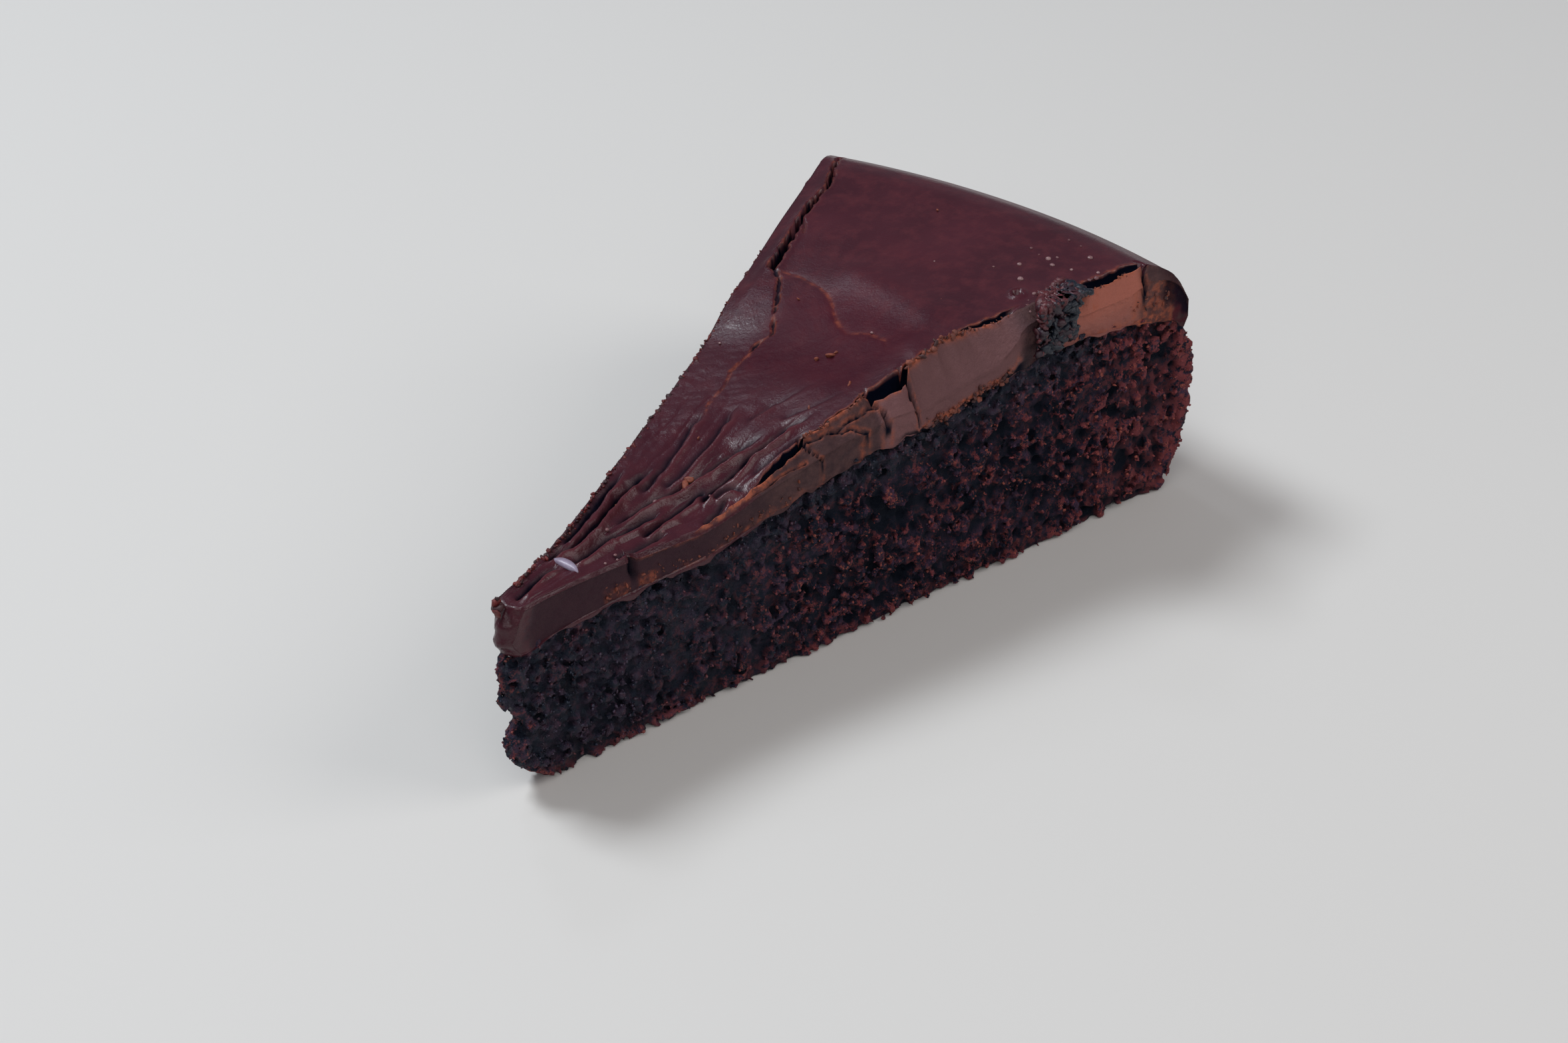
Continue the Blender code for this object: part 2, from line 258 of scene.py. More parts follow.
# Folds of the sunken skin near the point: (a valley's path, its depth, the width of its soft far side)
FOLDS = (
    (((1, 0), (3.7, 0.4), (6.7, 0.8), (9.5, 0.6)), 0.7, 0.8),
    (((13, 3.1), (16, 3.6), (19.6, 4.4), (23.6, 5.6), (26.7, 6.3), (31, 7.3)), 0.8, 0.9),
    (
        ((8.5, 2.6), (12, 2.1), (13.2, 1.6), (15.1, 1.7), (19.9, 2.6), (24.3, 3.7), (30.1, 4.4), (35, 4.7)),
        1.2, 0.9,
    ),
    (((10.5, 0.2), (13, -0.7), (17.7, -0.6), (21, -1.3), (24.2, -1.5), (28, -1.5)), 1.0, 0.8),
    (
        ((20, 0.6), (25, 0.6), (28.5, 0.2), (31.9, -0.9), (35.6, -1.9), (39.2, -2.5), (41.6, -3.3), (47, -5)),
        1.1, 1.0,
    ),
    (((21, -2.9), (23.9, -3.5), (28.4, -3.2), (31.9, -3.5), (34.5, -4.2)), 0.9, 0.8),
    (((31, -4.5), (33.8, -4.8), (36.8, -5.5), (41.3, -5.4), (44.4, -6.4), (47, -6.8), (52, -8.8)), 1.2, 0.8),
    (((32.7, -5.6), (34.1, -6.1), (35.2, -6.7), (36.2, -8.9)), 0.5, 0.8),
    (((28.5, -7.6), (31.6, -7.7), (33.8, -7.2)), 0.5, 0.6),
    (((15, -3.6), (18, -4.1), (21.5, -4.6), (24.5, -5.4)), 0.45, 0.7),
    (((27, 2.4), (34, 3.3), (40, 5), (46, 6.2)), 0.5, 1.2),
    (((30, 1), (36, 0.9), (43, 1.6), (50, 3.2)), 0.5, 1.3),
    (((38, -7.7), (43, -8.9), (48, -10)), 0.4, 0.7),
    (((46, -0.4), (51, -1.4), (56, -3.6), (60, -5.8)), 0.35, 1.3),
    (((48, -4.6), (53, -7.2), (58, -10.2)), 0.4, 1.2),
)
FOLD_SCALE = 1.5

# A fold's steep near side, its crest, and the painted shade line in its valley
STEEP_SIDE = 0.3
CREST_AWAY = 0.8
CREST_WIDTH = 0.5
CREST_SHARE = 0.35
SHADE_FAR = 0.62
SHADE_NEAR = 0.32
SHADE_GAIN = 1.15

# Raised ridges between the folds: (path, height, width)
RIDGES = (
    (((1, -1), (4, -1.4), (8, -1.8), (12, -2.2)), 0.3, 0.6),
    (((33, -6.2), (37, -8.4), (40, -9.4), (44, -10)), 0.35, 0.9),
)

# Cracks: (path, half width where widest, depth, share of the path where that is, orange at the edge, partly
# painted rim light)
CRACKS = (
    (
        (
            (105, 27), (102, 26), (95.7, 22.9), (91.4, 22.2),
            (86.7, 21.1), (81.9, 19.4), (78.9, 18.5), (75.7, 17.4),
        ),
        0.62, 2.8, 0.85, 0.35,
    ),
    (
        ((75.2, 17), (73.7, 14.8), (70.3, 12.4), (67.6, 10.8), (63.8, 8.4), (61.5, 9.3), (58.9, 9)),
        0.22, 0.4, 0.25, 0.55,
    ),
    (((58.9, 9), (55.2, 8.8), (51.9, 7.4), (48.3, 7), (45.2, 5.6)), 0.15, 0.25, 0.4, 0.5),
    (((86.7, 21.1), (86, 19.6), (84, 18.4)), 0.18, 0.4, 0.3, 0.2),
)

WIDE_CRACK = 0.3

# The low step where the smooth rim of the top meets the sunken middle
STEP = (
    (75.5, 17), (75.4, 13.2), (75.2, 10), (73.7, 6.5), (70.7, 2.7),
    (68.3, 0.6), (67.8, -1.8), (68.9, -4.9), (68.3, -7.3), (66.2, -9.5),
)

# The round crater beside the clump: its middle, its raised ring and how deep it is
CRATER_AT = (85.7, -17.8)
CRATER_RING = 1.05
CRATER_LIP = 0.4
CRATER_DEPTH = 0.7

# Gentle swells of the skin: (path, height, width)
SWELLS = (
    (((79.5, 5), (78.5, -3), (76.5, -9)), 0.5, 3.8),
    (((69, -12), (67.5, -13)), 0.25, 1.8),
    (((63.5, -12.6), (62, -13.4)), 0.25, 1.6),
)

# The torn strip of icing beside the near cut, as (distance from the centre, size)
STRIP_WIDTH = (
    (0, 0.5), (28, 0.6), (38, 0.9), (41, 1.5), (44, 2.3), (47, 3.2), (56, 3.2), (64, 4.2),
    (72, 5.2), (80, 4.4), (90, 3.0), (105, 2.4), (112, 1.2),
)
STRIP_FALL = (
    (0, 0.5), (30, 0.6), (38, 0.9), (45, 2.6), (56, 3.6), (64.6, 5.6), (66, 6.4), (79, 6.2),
    (84, 3), (91, 4.2), (104, 4.2), (107, 2.4), (114, 0.8),
)
CRACK_DEPTH = (
    (38, 0), (40.5, 2.2), (46.5, 2.4), (49, 0.7), (55, 0.6), (58, 1.5), (60, 4.8), (64, 4.8),
    (66.5, 2), (84, 2.2), (89, 3.4), (103, 3.2), (107, 0.6),
)
CRACK_SPAN = (
    (28, 0.15), (38, 0.3), (41, 0.8), (46, 0.9), (50, 0.35), (57, 0.5), (60, 1.5), (63, 2.0),
    (66.5, 0.6), (78, 0.45), (88, 1.3), (96, 1.7), (103, 1.2), (108, 0.4),
)

# Where the strip ends and the skin starts, as shares of the way across the icing's lattice
STRIP_EDGE = 0.12
SKIN_EDGE = 0.18
STRIP_CRACK = (STRIP_EDGE + SKIN_EDGE) / 2
CRACK_HALF = (SKIN_EDGE - STRIP_EDGE) / 2

# How the plates of broken icing on the strip lie at their inner and outer edges, as (distance, lift)
INNER_LIFT = (
    (38, 0), (40, -0.3), (46, -0.3), (47.3, 0.3), (57.5, 0.2), (59, -1.3), (64.2, -1.6), (65, 0.3),
    (73, 0.3), (77, -0.5), (83.4, -0.7), (84, 0), (90, 0), (91, -1.0), (104.5, -0.9), (106, 0),
)
OUTER_LIFT = (
    (46.6, 0), (47.3, 0.1), (58.4, 0.1), (59.6, 0.6), (64.2, 0.6), (65.2, 0.3), (83.4, 0.3), (84, 0),
    (90.6, 0), (91.6, 0.3), (105, 0.3), (106, 0),
)

# Gaps between the plates: (distance at the inner edge, at the outer edge, half width, depth)
STRIP_SPLITS = (
    (46.6, 48.6, 0.25, 0.8), (58.6, 59.8, 0.3, 1.4), (64.6, 65.2, 0.35, 1.8),
    (106.2, 106.6, 0.45, 1.8),
)

# Thin cracks over the strip: (path as distance and share across the strip, depth)
STRIP_LINES = (
    (
        ((46.6, 0.95), (48.4, 0.72), (50, 0.78), (52, 0.56), (52.6, 0.44), (54, 0.42), (55, 0.2), (56.4, 0)),
        0.45,
    ),
    (((52, 0.56), (54.5, 0.66), (57, 0.6), (58.6, 0.72)), 0.4),
    (((36, 0.6), (39, 0.45), (42, 0.55), (46, 0.3)), 0.35),
    (((97, 0.9), (97.6, 0.55), (96.8, 0.2)), 0.25),
)
STRIP_SLANT = 4.0

# How jagged the strip's inner edge is: (depth, length, seed)
STRIP_JAGS = ((0.4, 3.3, 11), (0.32, 1.1, 12), (0.12, 0.5, 10))

# The upright notch in the near cut close to the point, and the thin raised lip farther along it
NOTCH_AT = 18.0
NOTCH_HALF = 0.45
NOTCH_DEPTH = 1.3
LIP_HEIGHT = 0.6

# The clump of crumb on the near edge: its middle, the stretch of strip that it fills, how high it
# stands, its half length, and how far it hangs down the cut
CLUMP_AT = 88.0
CLUMP_REACH = 6.0
CLUMP_RISE = 1.2
CLUMP_HALF = 5.0
CLUMP_FALL = 6.6

# Stretches along the slice, as the distances where each starts, is full, is last full and ends
FOLDED = (0, 3, 44, 60)
FAR_CREASES = (22, 30, 52, 66)
FAR_EDGE_SUNK = (62, 78, 100, 110)
ORANGE_LIP = (37, 41, 104, 108)
RAISED_LIP = (27.5, 30, 39, 41.5)
TOP_LINE = (16, 20, 27, 30)
LOW_RIM = (24, 30, 42, 48)
BEFORE_NOTCH = (13, 14.5, 16.8, 17.8)
AFTER_NOTCH = (18.6, 19.4, 21, 22.5)
MATTE_SKIN = (52, 59, 70, 76)
INNER_PLATES = (58, 60, 82, 85)
SMALL_PLATE = (58.5, 59.5, 64.3, 65)
OVERHANG = (60, 66, 82, 85)
SHADOW_UNDER = (59, 66, 83, 86)
ORANGE_UNDER = (63, 67, 82, 84)
OUTER_PLATE = (89, 92, 104, 106)
WARM_PLATE = (89, 91, 105, 107)
ORANGE_FOOT = (90, 94, 108, 112)
ORANGE_END = (103, 106, 112, 114)


def lattice_skin(along, across, up):
    """The outer points of a lattice from 0 to 1 each way, and the faces that join them."""
    shape = (len(along), len(across), len(up))
    number = np.arange(shape[0] * shape[1] * shape[2]).reshape(shape)
    faces = []
    for axis, end in itertools.product(range(3), (0, -1)):
        sheet = np.take(number, end, axis)
        quads = np.stack([sheet[:-1, :-1], sheet[1:, :-1], sheet[1:, 1:], sheet[:-1, 1:]], -1)
        quads = quads.reshape(-1, 4)
        faces.append(quads if (end == -1) != (axis == 1) else quads[:, ::-1])
    used, index = np.unique(np.concatenate(faces), return_inverse=True)
    i, j, k = np.unravel_index(used, shape)
    return np.stack([along[i], across[j], up[k]], 1), index.reshape(-1, 4)


def notch(distance, lift):
    """How far the notch in the near cut goes in."""
    lean = NOTCH_AT + 0.5 * (1 - lift) + 0.3 * noise(lift, 0.4, 15)
    return NOTCH_DEPTH * hump(distance - lean, NOTCH_HALF) * smooth(0.25, 0.6, lift)


def strip_side(across, distance, width, lift):
    """Across the icing from -1 to 1, with lines that follow the torn strip."""
    ragged = smooth(30, 44, distance)
    rough = sum(depth * noise(distance, length, seed) for depth, length, seed in STRIP_JAGS)
    strip = outline(STRIP_WIDTH, distance) + ragged * rough
    crack = outline(CRACK_SPAN, distance) * (1 + 0.35 * noise(distance, 1.7, 13))
    strip = np.maximum(strip, 0.35 + crack)
    cut_in = notch(distance, lift)
    on_strip = cut_in + np.clip(across / STRIP_EDGE, 0, 1) * (strip - crack)
    in_crack = np.clip((across - STRIP_EDGE) / (SKIN_EDGE - STRIP_EDGE), 0, 1) * crack
    skin_from = -1 + (cut_in + strip) / width
    on_skin = skin_from + (across - SKIN_EDGE) / (1 - SKIN_EDGE) * (1 - skin_from)
    return np.where(across < SKIN_EDGE, -1 + (on_strip + in_crack) / width, on_skin)


def clump_share(distance):
    return np.clip(1 - (np.abs(distance - CLUMP_AT) / CLUMP_REACH) ** 4, 0, 1)


def folds_relief(x, y, distance, side):
    """Valleys that fan out from the point, each with a sharp crest on its near side. Also where both lie."""
    flat = np.stack([x, y], 1)
    warped_x = x + 0.3 * noise(flat, 2.2, 21)
    warped_y = y + 0.22 * noise(flat, 1.7, 22) + 0.06 * noise(flat, 0.6, 20)
    valley = np.zeros(len(x))
    crest = np.zeros(len(x))
    shade = np.zeros(len(x))
    for path, depth, soft in FOLDS:
        gap, hand, along = to_path(warped_x, warped_y, path)
        size = FOLD_SCALE * depth * window(0, 0.15, 0.75, 1, along)
        far = hand > 0
        valley = np.maximum(valley, size * np.where(far, np.exp(-gap / soft), hump(gap, STEEP_SIDE)))
        crest = np.maximum(crest, np.where(far, 0, size * hump(gap - CREST_AWAY, CREST_WIDTH)))
        line = np.where(far, hump(gap, SHADE_FAR), hump(gap, SHADE_NEAR))
        shade = np.maximum(shade, size * line)
    relief = 0.15 - valley + CREST_SHARE * crest
    for path, height, width in RIDGES:
        gap, _, along = to_path(x, y, path)
        relief += height * window(0, 0.1, 0.85, 1, along) * hump(gap, width)
    fan = np.stack([distance / 9, side * 5], 1)
    streak = (1 - np.abs(noise(fan + 0.2 * noise(flat, 4, 24)[:, None], 1, 23))) ** 6
    return relief - 0.12 * streak, np.clip(crest, 0, 1), np.clip(SHADE_GAIN * shade, 0, 1)


def skin_relief(x, y, distance, side):
    """What the skin has beside its general form, how orange each spot is at an edge, partly as painted rim
    light, and how much painted shade lies on it in a crack or a fold's valley.
    """
    flat = np.stack([x, y], 1)
    sunken = 1 - smooth(60, 80, distance)
    relief = -0.12 + (0.05 + 0.2 * sunken) * layered(flat, 13, 20, 2)
    folded = window(*FOLDED, distance)
    folds, crest, shade = folds_relief(x, y, distance, side)
    relief += folded * folds

    creases = np.stack([(x * 0.8 + y * 0.6) / 1.2, (y * 0.8 - x * 0.6) / 4.5], 1)
    far_part = smooth(-0.1, 0.5, side) * window(*FAR_CREASES, distance)
    relief -= 0.1 * far_part * (1 - np.abs(noise(creases, 1, 26))) ** 4
    relief += 0.07 * far_part * layered(flat, 0.9, 19, 2)
    relief += sunken * (0.1 * noise(flat, 4.5, 27) + 0.035 * layered(flat, 1.2, 28, 3))
    relief -= 0.9 * smooth(0.84, 1, side) * window(*FAR_EDGE_SUNK, distance)

    gap, hand, along = to_path(x + 0.4 * noise(flat, 2, 29), y + 0.4 * noise(flat, 2, 30), STEP)
    ends = window(0, 0.1, 0.85, 1, along)
    relief -= ends * (0.2 * np.exp(-gap / np.where(hand > 0, 2.2, 0.4)) + 0.05 * hump(gap, 0.22))
    # A thin orange line along the step: painted highlight
    orange_and_lit_edge = 0.45 * ends * hump(gap, 0.24)
    # Painted shade darkens the fold valleys
    painted_shade = 0.95 * folded * shade

    for path, half, depth, widest, orange in CRACKS:
        wide = half > WIDE_CRACK
        jitter = 0.3 * noise(flat, 1.1, 31) + 0.2 * noise(flat, 0.5, 32)
        gap, _, along = to_path(x, y, path)
        gap = gap + jitter * min(1, half / 0.3)
        size = half * np.clip(1 - np.abs(along - widest) * 0.9, 0.2, 1)
        relief -= depth * (1 - smooth(size * 0.6, size * 1.25, gap))
        # The cracks are painted near black inside: painted shade
        painted_shade = np.maximum(painted_shade, (1 - smooth(size, size * 1.4, gap)) * smooth(0.1, 0.25, half))
        if wide:
            relief += 0.12 * hump(gap - size * 1.8, 0.5)
        # The cracks' lips are painted orange, partly the broken icing's lighter colour and partly painted rim
        # light
        orange_and_lit_edge = np.maximum(orange_and_lit_edge, orange * hump(gap - size * (1.4 if wide else 0.8), 0.2))

    for path, height, width in SWELLS:
        relief += height * hump(to_path(x, y, path)[0], width)
    away = np.hypot(x - CRATER_AT[0], y - CRATER_AT[1])
    relief += CRATER_LIP * hump(away - CRATER_RING, 0.3) - CRATER_DEPTH * (1 - smooth(0.4, 0.95, away))
    return relief, orange_and_lit_edge, painted_shade, crest * folded


def strip_relief(distance, across):
    """The torn strip's slope, plates and gaps, how orange each spot is, partly as painted rim light, and how
    much painted shade lies on it.
    """
    share = np.clip(across / STRIP_EDGE, 0, 1)
    flat = np.stack([distance, share * STRIP_SLANT], 1)
    clump = clump_share(distance)
    relief = -outline(STRIP_FALL, distance) * (1 - 0.6 * clump) * (1 - share)
    on_plate = across < STRIP_CRACK
    inner = outline(INNER_LIFT, distance + 0.5 * noise(distance, 1.3, 14))
    outer = outline(OUTER_LIFT, distance)
    relief += on_plate * (1 - clump) * (inner * share + outer * (1 - share))
    relief += smooth(34, 42, distance) * 0.09 * layered(flat, 2.2, 34)

    orange_and_lit_edge = np.zeros(len(distance))
    painted_shade = np.zeros(len(distance))
    for inner, outer, half, depth in STRIP_SPLITS:
        middle = outer + (inner - outer) * share
        gap = np.abs(distance - middle - 0.5 * noise(flat, 2.2, 35) - 0.3 * noise(flat, 0.7, 36))
        inside = 1 - smooth(half * 0.5, half * 1.2, gap)
        relief -= depth * inside
        # Painted shade inside the gaps between the plates
        painted_shade = np.maximum(painted_shade, inside)
        # Their lips are painted orange, partly painted rim light
        orange_and_lit_edge = np.maximum(orange_and_lit_edge, 0.5 * hump(gap - half * 1.3, 0.25))
    for path, depth in STRIP_LINES:
        line = [(along, part * STRIP_SLANT) for along, part in path]
        gap = to_path(flat[:, 0], flat[:, 1], line)[0] + 0.12 * noise(flat, 0.6, 37)
        relief -= depth * hump(gap, 0.22)
        # Painted shade in the deeper thin cracks
        painted_shade = np.maximum(painted_shade, (depth > 0.3) * (1 - smooth(0.08, 0.2, gap)))
        # Orange beside the thin cracks, partly painted rim light
        orange_and_lit_edge = np.maximum(orange_and_lit_edge, 0.6 * hump(gap - 0.3, 0.25))

    from_middle = np.abs(across - STRIP_CRACK) / CRACK_HALF
    crack = np.clip((0.985 - from_middle) / 0.23, 0, 1)
    depth = outline(CRACK_DEPTH, distance) * (1 - clump)
    relief -= crack * depth * (1 + 0.25 * noise(distance, 2.5, 38))
    # Painted shade fills the crack between the strip and the skin
    painted_shade = np.where(across < STRIP_EDGE * 1.01, painted_shade, 0)
    painted_shade = np.maximum(painted_shade, (from_middle < 0.97) * smooth(0.4, 1.0, depth))
    # Orange lines along the strip's lips: partly the torn icing's colour, partly painted rim light
    lip = 0.55 * hump(across - SKIN_EDGE, 0.006) + hump(across - STRIP_EDGE, 0.012)
    orange_and_lit_edge = np.maximum(orange_and_lit_edge * (across < STRIP_EDGE), lip * window(*ORANGE_LIP, distance) * (1 - clump))
    # The raised lip is painted orange as lit: painted highlight
    upper = hump(across - 0.1, 0.03) * window(*RAISED_LIP, distance)
    relief += LIP_HEIGHT * upper * (1 + 0.5 * noise(distance, 1.2, 39))
    return relief, np.maximum(orange_and_lit_edge, 2 * upper), painted_shade


def shape_icing(unit):
    """Turns the lattice's points into the icing layer, with what its surface is made of and where shade and
    rim light are painted on it.
    """
    distance = unit[:, 0] * CAKE_RADIUS
    across = unit[:, 1]
    lift = unit[:, 2]
    width = half_width(distance)
    side = strip_side(across, distance, width, lift)
    near_cut = across < 0.001
    far_cut = across > 0.999

    flat_x = distance * np.cos(side * HALF_ANGLE)
    flat_y = side * width
    relief, orange_and_lit_edge, painted_shade, crest = skin_relief(flat_x, flat_y, distance, side)
    strip, strip_orange_and_lit, strip_shade = strip_relief(distance, across)
    on_skin = smooth(STRIP_CRACK, SKIN_EDGE + 0.01, across)
    sag = 0.55 + 0.5 * noise(distance, 3.1, 41) + 0.3 * noise(distance, 1.0, 42)
    by_cuts = np.maximum(hump(across, 0.03), hump(1 - across, 0.02))
    sag = np.clip(sag, 0, 1.3) * by_cuts * smooth(2, 10, distance)
    bottom = seam_height(distance, side) - 0.1 - sag - 0.6 * (1 - smooth(2, 6, distance))
    off_strip = smooth(SKIN_EDGE, SKIN_EDGE + 0.02, across)
    top = skin_height(distance, side) + relief * (0.3 + 0.7 * on_skin) + strip * (1 - off_strip)
    top = np.maximum(top, bottom + 1.2)
    height = bottom + lift * (top - bottom)

    reach = distance * (CAKE_RADIUS + RIM_LEAN * side) / CAKE_RADIUS
    near_side = np.clip(1 - (CAKE_RADIUS - distance) / SIDE_REACH, 0, 1) ** 2
    near_point = np.clip(1 - distance / POINT_REACH, 0, 1)
    reach = reach + (outline(ICING_SIDE, height) - 0.35) * near_side
    nose = outline(ICING_POINT, height) + 0.3 + NOSE_ROUND * side**2
    x = reach * np.cos(side * HALF_ANGLE) + nose * near_point
    y = side * half_width(x)
    points = np.stack([x, y, height], 1)

    rough = 0.3 * layered(points, 2.6, 43) + 0.12 * noise(points, 0.7, 44)
    overhang = 0.35 * window(*OVERHANG, distance) * window(0.0, 0.2, 0.6, 1.0, lift)
    points[:, 1] += near_cut * (rough + 0.25 - overhang) - far_cut * (rough + 0.3)
    ends = (unit[:, 0] < 0.001) | (unit[:, 0] > 0.999)
    points[:, 0] += ends * np.where(unit[:, 0] < 0.5, 0.6, 0.12) * layered(points, 1.6, 45)

    rugged = lift + 0.15 * noise(points, 1.2, 46)
    # A painted shadow under the plates' overhang on the near cut
    shadow_under_plate = near_cut * window(*SHADOW_UNDER, distance) * (1 - smooth(0.12, 0.3, rugged))
    # The plates' lower edge is painted orange as lit: painted highlight
    lit_low_edge = near_cut * hump(lift - 0.36, 0.16) * window(*ORANGE_UNDER, distance)
    rim_orange = 0.6 * window(*ORANGE_END, distance)
    rim_orange += 0.5 * (1 - smooth(0.1, 0.4, lift)) * window(*ORANGE_FOOT, distance)
    by_notch = window(*BEFORE_NOTCH, distance) * window(0.0, 0.12, 0.3, 0.5, rugged)
    by_notch += window(*AFTER_NOTCH, distance) * (1 - smooth(0.3, 0.6, rugged))
    low_rim = 0.5 * window(*LOW_RIM, distance) * (1 - smooth(0.05, 0.3, rugged))
    cut_edge = near_cut * np.maximum.reduce([rim_orange, 0.55 * by_notch, low_rim])
    # A painted highlight along the top edge of the near cut
    lit_top_line = 0.45 * hump(across, 0.02) * smooth(0.9, 1, lift) * window(*TOP_LINE, distance)
    lip = near_cut * smooth(111.5, 113.5, distance)
    cut = np.maximum(near_cut, far_cut) * smooth(0.5, 3, distance)
    orange_and_lit_edge = np.maximum.reduce([orange_and_lit_edge * on_skin, strip_orange_and_lit, lit_low_edge, cut_edge, lit_top_line])
    # Painted shade in the notch, in the strip's gaps, and on the near face of the lip at the rim end
    shade_in_notch = near_cut * notch(distance, lift) / NOTCH_DEPTH
    strip_shade = strip_shade * np.where(near_cut, smooth(0.3, 0.9, rugged), 1)
    shade_at_rim_end = 0.85 * near_cut * smooth(109.5, 111.5, distance) * smooth(0.3, 0.55, rugged)
    painted_shade = np.maximum.reduce([painted_shade * on_skin, strip_shade, shadow_under_plate, shade_in_notch, shade_at_rim_end])
    torn = np.maximum((across < STRIP_CRACK) * smooth(34, 42, distance), cut) * (1 - 0.6 * lip)
    plates = window(*INNER_PLATES, distance) + window(*OUTER_PLATE, distance)
    small_plate = window(*SMALL_PLATE, distance)
    away_from_cuts = window(-0.75, -0.5, 0.45, 0.75, side)
    values = {
        "torn": torn, "orange_and_lit_edge": np.clip(orange_and_lit_edge, 0, 2), "painted_shade": np.clip(painted_shade, 0, 1), "crest": crest * on_skin,
        "sunken": 1 - smooth(60, 78, distance),
        "pale": (plates + 0.33 * small_plate) * (across < STRIP_CRACK),
        "warm": window(*WARM_PLATE, distance) * (across < STRIP_CRACK) * (0.4 + 0.6 * lift),
        "tipward": 1 - smooth(26, 46, distance), "rim": smooth(107, 112, distance),
        "matte": window(*MATTE_SKIN, distance) * away_from_cuts,
    }
    return points, values


# Lines of the icing's lattice along the slice: evenly to the shoulder, closer beyond it, and upwards
SHOULDER_FROM = 104.0
EVEN_LINES = 300
SHOULDER_LINES = 46
UP_LINES = 20

# Lines along the icing that loose pieces lie on, as (share of the way across, share of the way up)
EDGE_LINES = {
    "far_edge": (1.0, 1.0),
    "plate_top": (STRIP_EDGE, 1.0),
    "foot": (0.0, 6 / (UP_LINES - 1)),
    "cut_middle": (0.0, 10 / (UP_LINES - 1)),
}


def edge_lines(unit, points):
    """The icing's points along each of those lines."""
    lines = {}
    for name, (across, up) in EDGE_LINES.items():
        chosen = (np.abs(unit[:, 1] - across) < 1e-6) & (np.abs(unit[:, 2] - up) < 1e-6)
        order = np.argsort(unit[chosen, 0])
        lines[name] = (unit[chosen, 0][order] * CAKE_RADIUS, points[chosen][order])
    return lines


def on_line(line, distance):
    """Points of a line at the given distances from the centre."""
    places, points = line
    return np.stack([np.interp(distance, places, points[:, axis]) for axis in range(3)], 1)


# Lines of points across the strip's crack, close together at its lips
CRACK_LINES = (-1, -0.95, -0.72, -0.4, 0, 0.4, 0.72, 0.95)


def make_icing(material):
    """The icing layer, and the lines along it that loose pieces lie on."""
    even = np.linspace(0, SHOULDER_FROM, EVEN_LINES)
    share = np.linspace(0, 1, SHOULDER_LINES)[1:] ** 0.8
    shoulder = SHOULDER_FROM + (ICING_END - SHOULDER_FROM) * share
    along = np.concatenate([even, shoulder]) / CAKE_RADIUS
    across = np.concatenate([
        np.linspace(0, STRIP_EDGE, 20)[:-1], STRIP_CRACK + CRACK_HALF * np.array(CRACK_LINES),
        np.linspace(SKIN_EDGE, 1, 165),
    ])
    unit, faces = lattice_skin(along, across, np.linspace(0, 1, UP_LINES))
    points, values = shape_icing(unit)
    piece = mesh_object("icing_layer", points, faces, material)
    for name, value in values.items():
        add_values(piece, name, value)
    under = (unit[:, 2] < 0.001) & (unit[:, 0] > 0.02) & (unit[:, 0] < 0.98)
    under &= (unit[:, 1] > 0.03) & (unit[:, 1] < 0.97)
    thin_out(piece, 0.6, under)
    return piece, edge_lines(unit, points)


# Sponge

VOXEL = 0.34
SPONGE_LOW = (-4.6, -33.0, -2 * VOXEL)
SPONGE_HIGH = (119.6, 33.0, 35.2)
SPONGE_TRIANGLES = 196000

# Raised crumbs, and pores: (count, smallest, largest, how rare the large ones are)
CRUMB_COUNT = 13000
PORES = ((5200, 0.3, 0.75, 1.4), (760, 0.6, 1.3, 1.2))

# The shares of them that lie on the near cut, on both cuts, and on all but the point
NEAR_SHARE = 0.4
CUTS_SHARE = 0.8
RIM_SHARE = 0.975


def grid_noise(counts, size, generator):
    """Smooth random values from -1 to 1 over a grid of voxels."""
    coarse = [int(count * VOXEL / size) + 3 for count in counts]
    values = generator.uniform(-1, 1, coarse).astype(np.float32)
    for axis, count in enumerate(counts):
        at = np.arange(count) * VOXEL / size
        cell = at.astype(int)
        part = (at - cell).astype(np.float32)
        part = part * part * (3 - 2 * part)
        part = part.reshape([-1 if other == axis else 1 for other in range(3)])
        values = np.take(values, cell, axis) * (1 - part) + np.take(values, cell + 1, axis) * part
    return values


def stamp(field, lines, centres, radii, stretch, grain, hollow):
    """Adds rough crumbs to the field, which is above 0 inside the solid, or cuts rough pores in it."""
    for centre, radius, pull in zip(centres, radii, stretch):
        reach = radius * 1.6
        places = zip(lines, centre)
        span = tuple(slice(*np.searchsorted(line, (at - reach, at + reach))) for line, at in places)
        axes = zip(lines, span, centre, pull)
        squares = [((line[part] - middle) / scale) ** 2 for line, part, middle, scale in axes]
        away = np.sqrt(squares[0][:, None, None] + squares[1][None, :, None] + squares[2][None, None, :])
        away = away + 0.45 * radius * grain[span]
        block = field[span]
        if hollow:
            np.minimum(block, away - radius, out=block)
        else:
            np.maximum(block, radius - away, out=block)


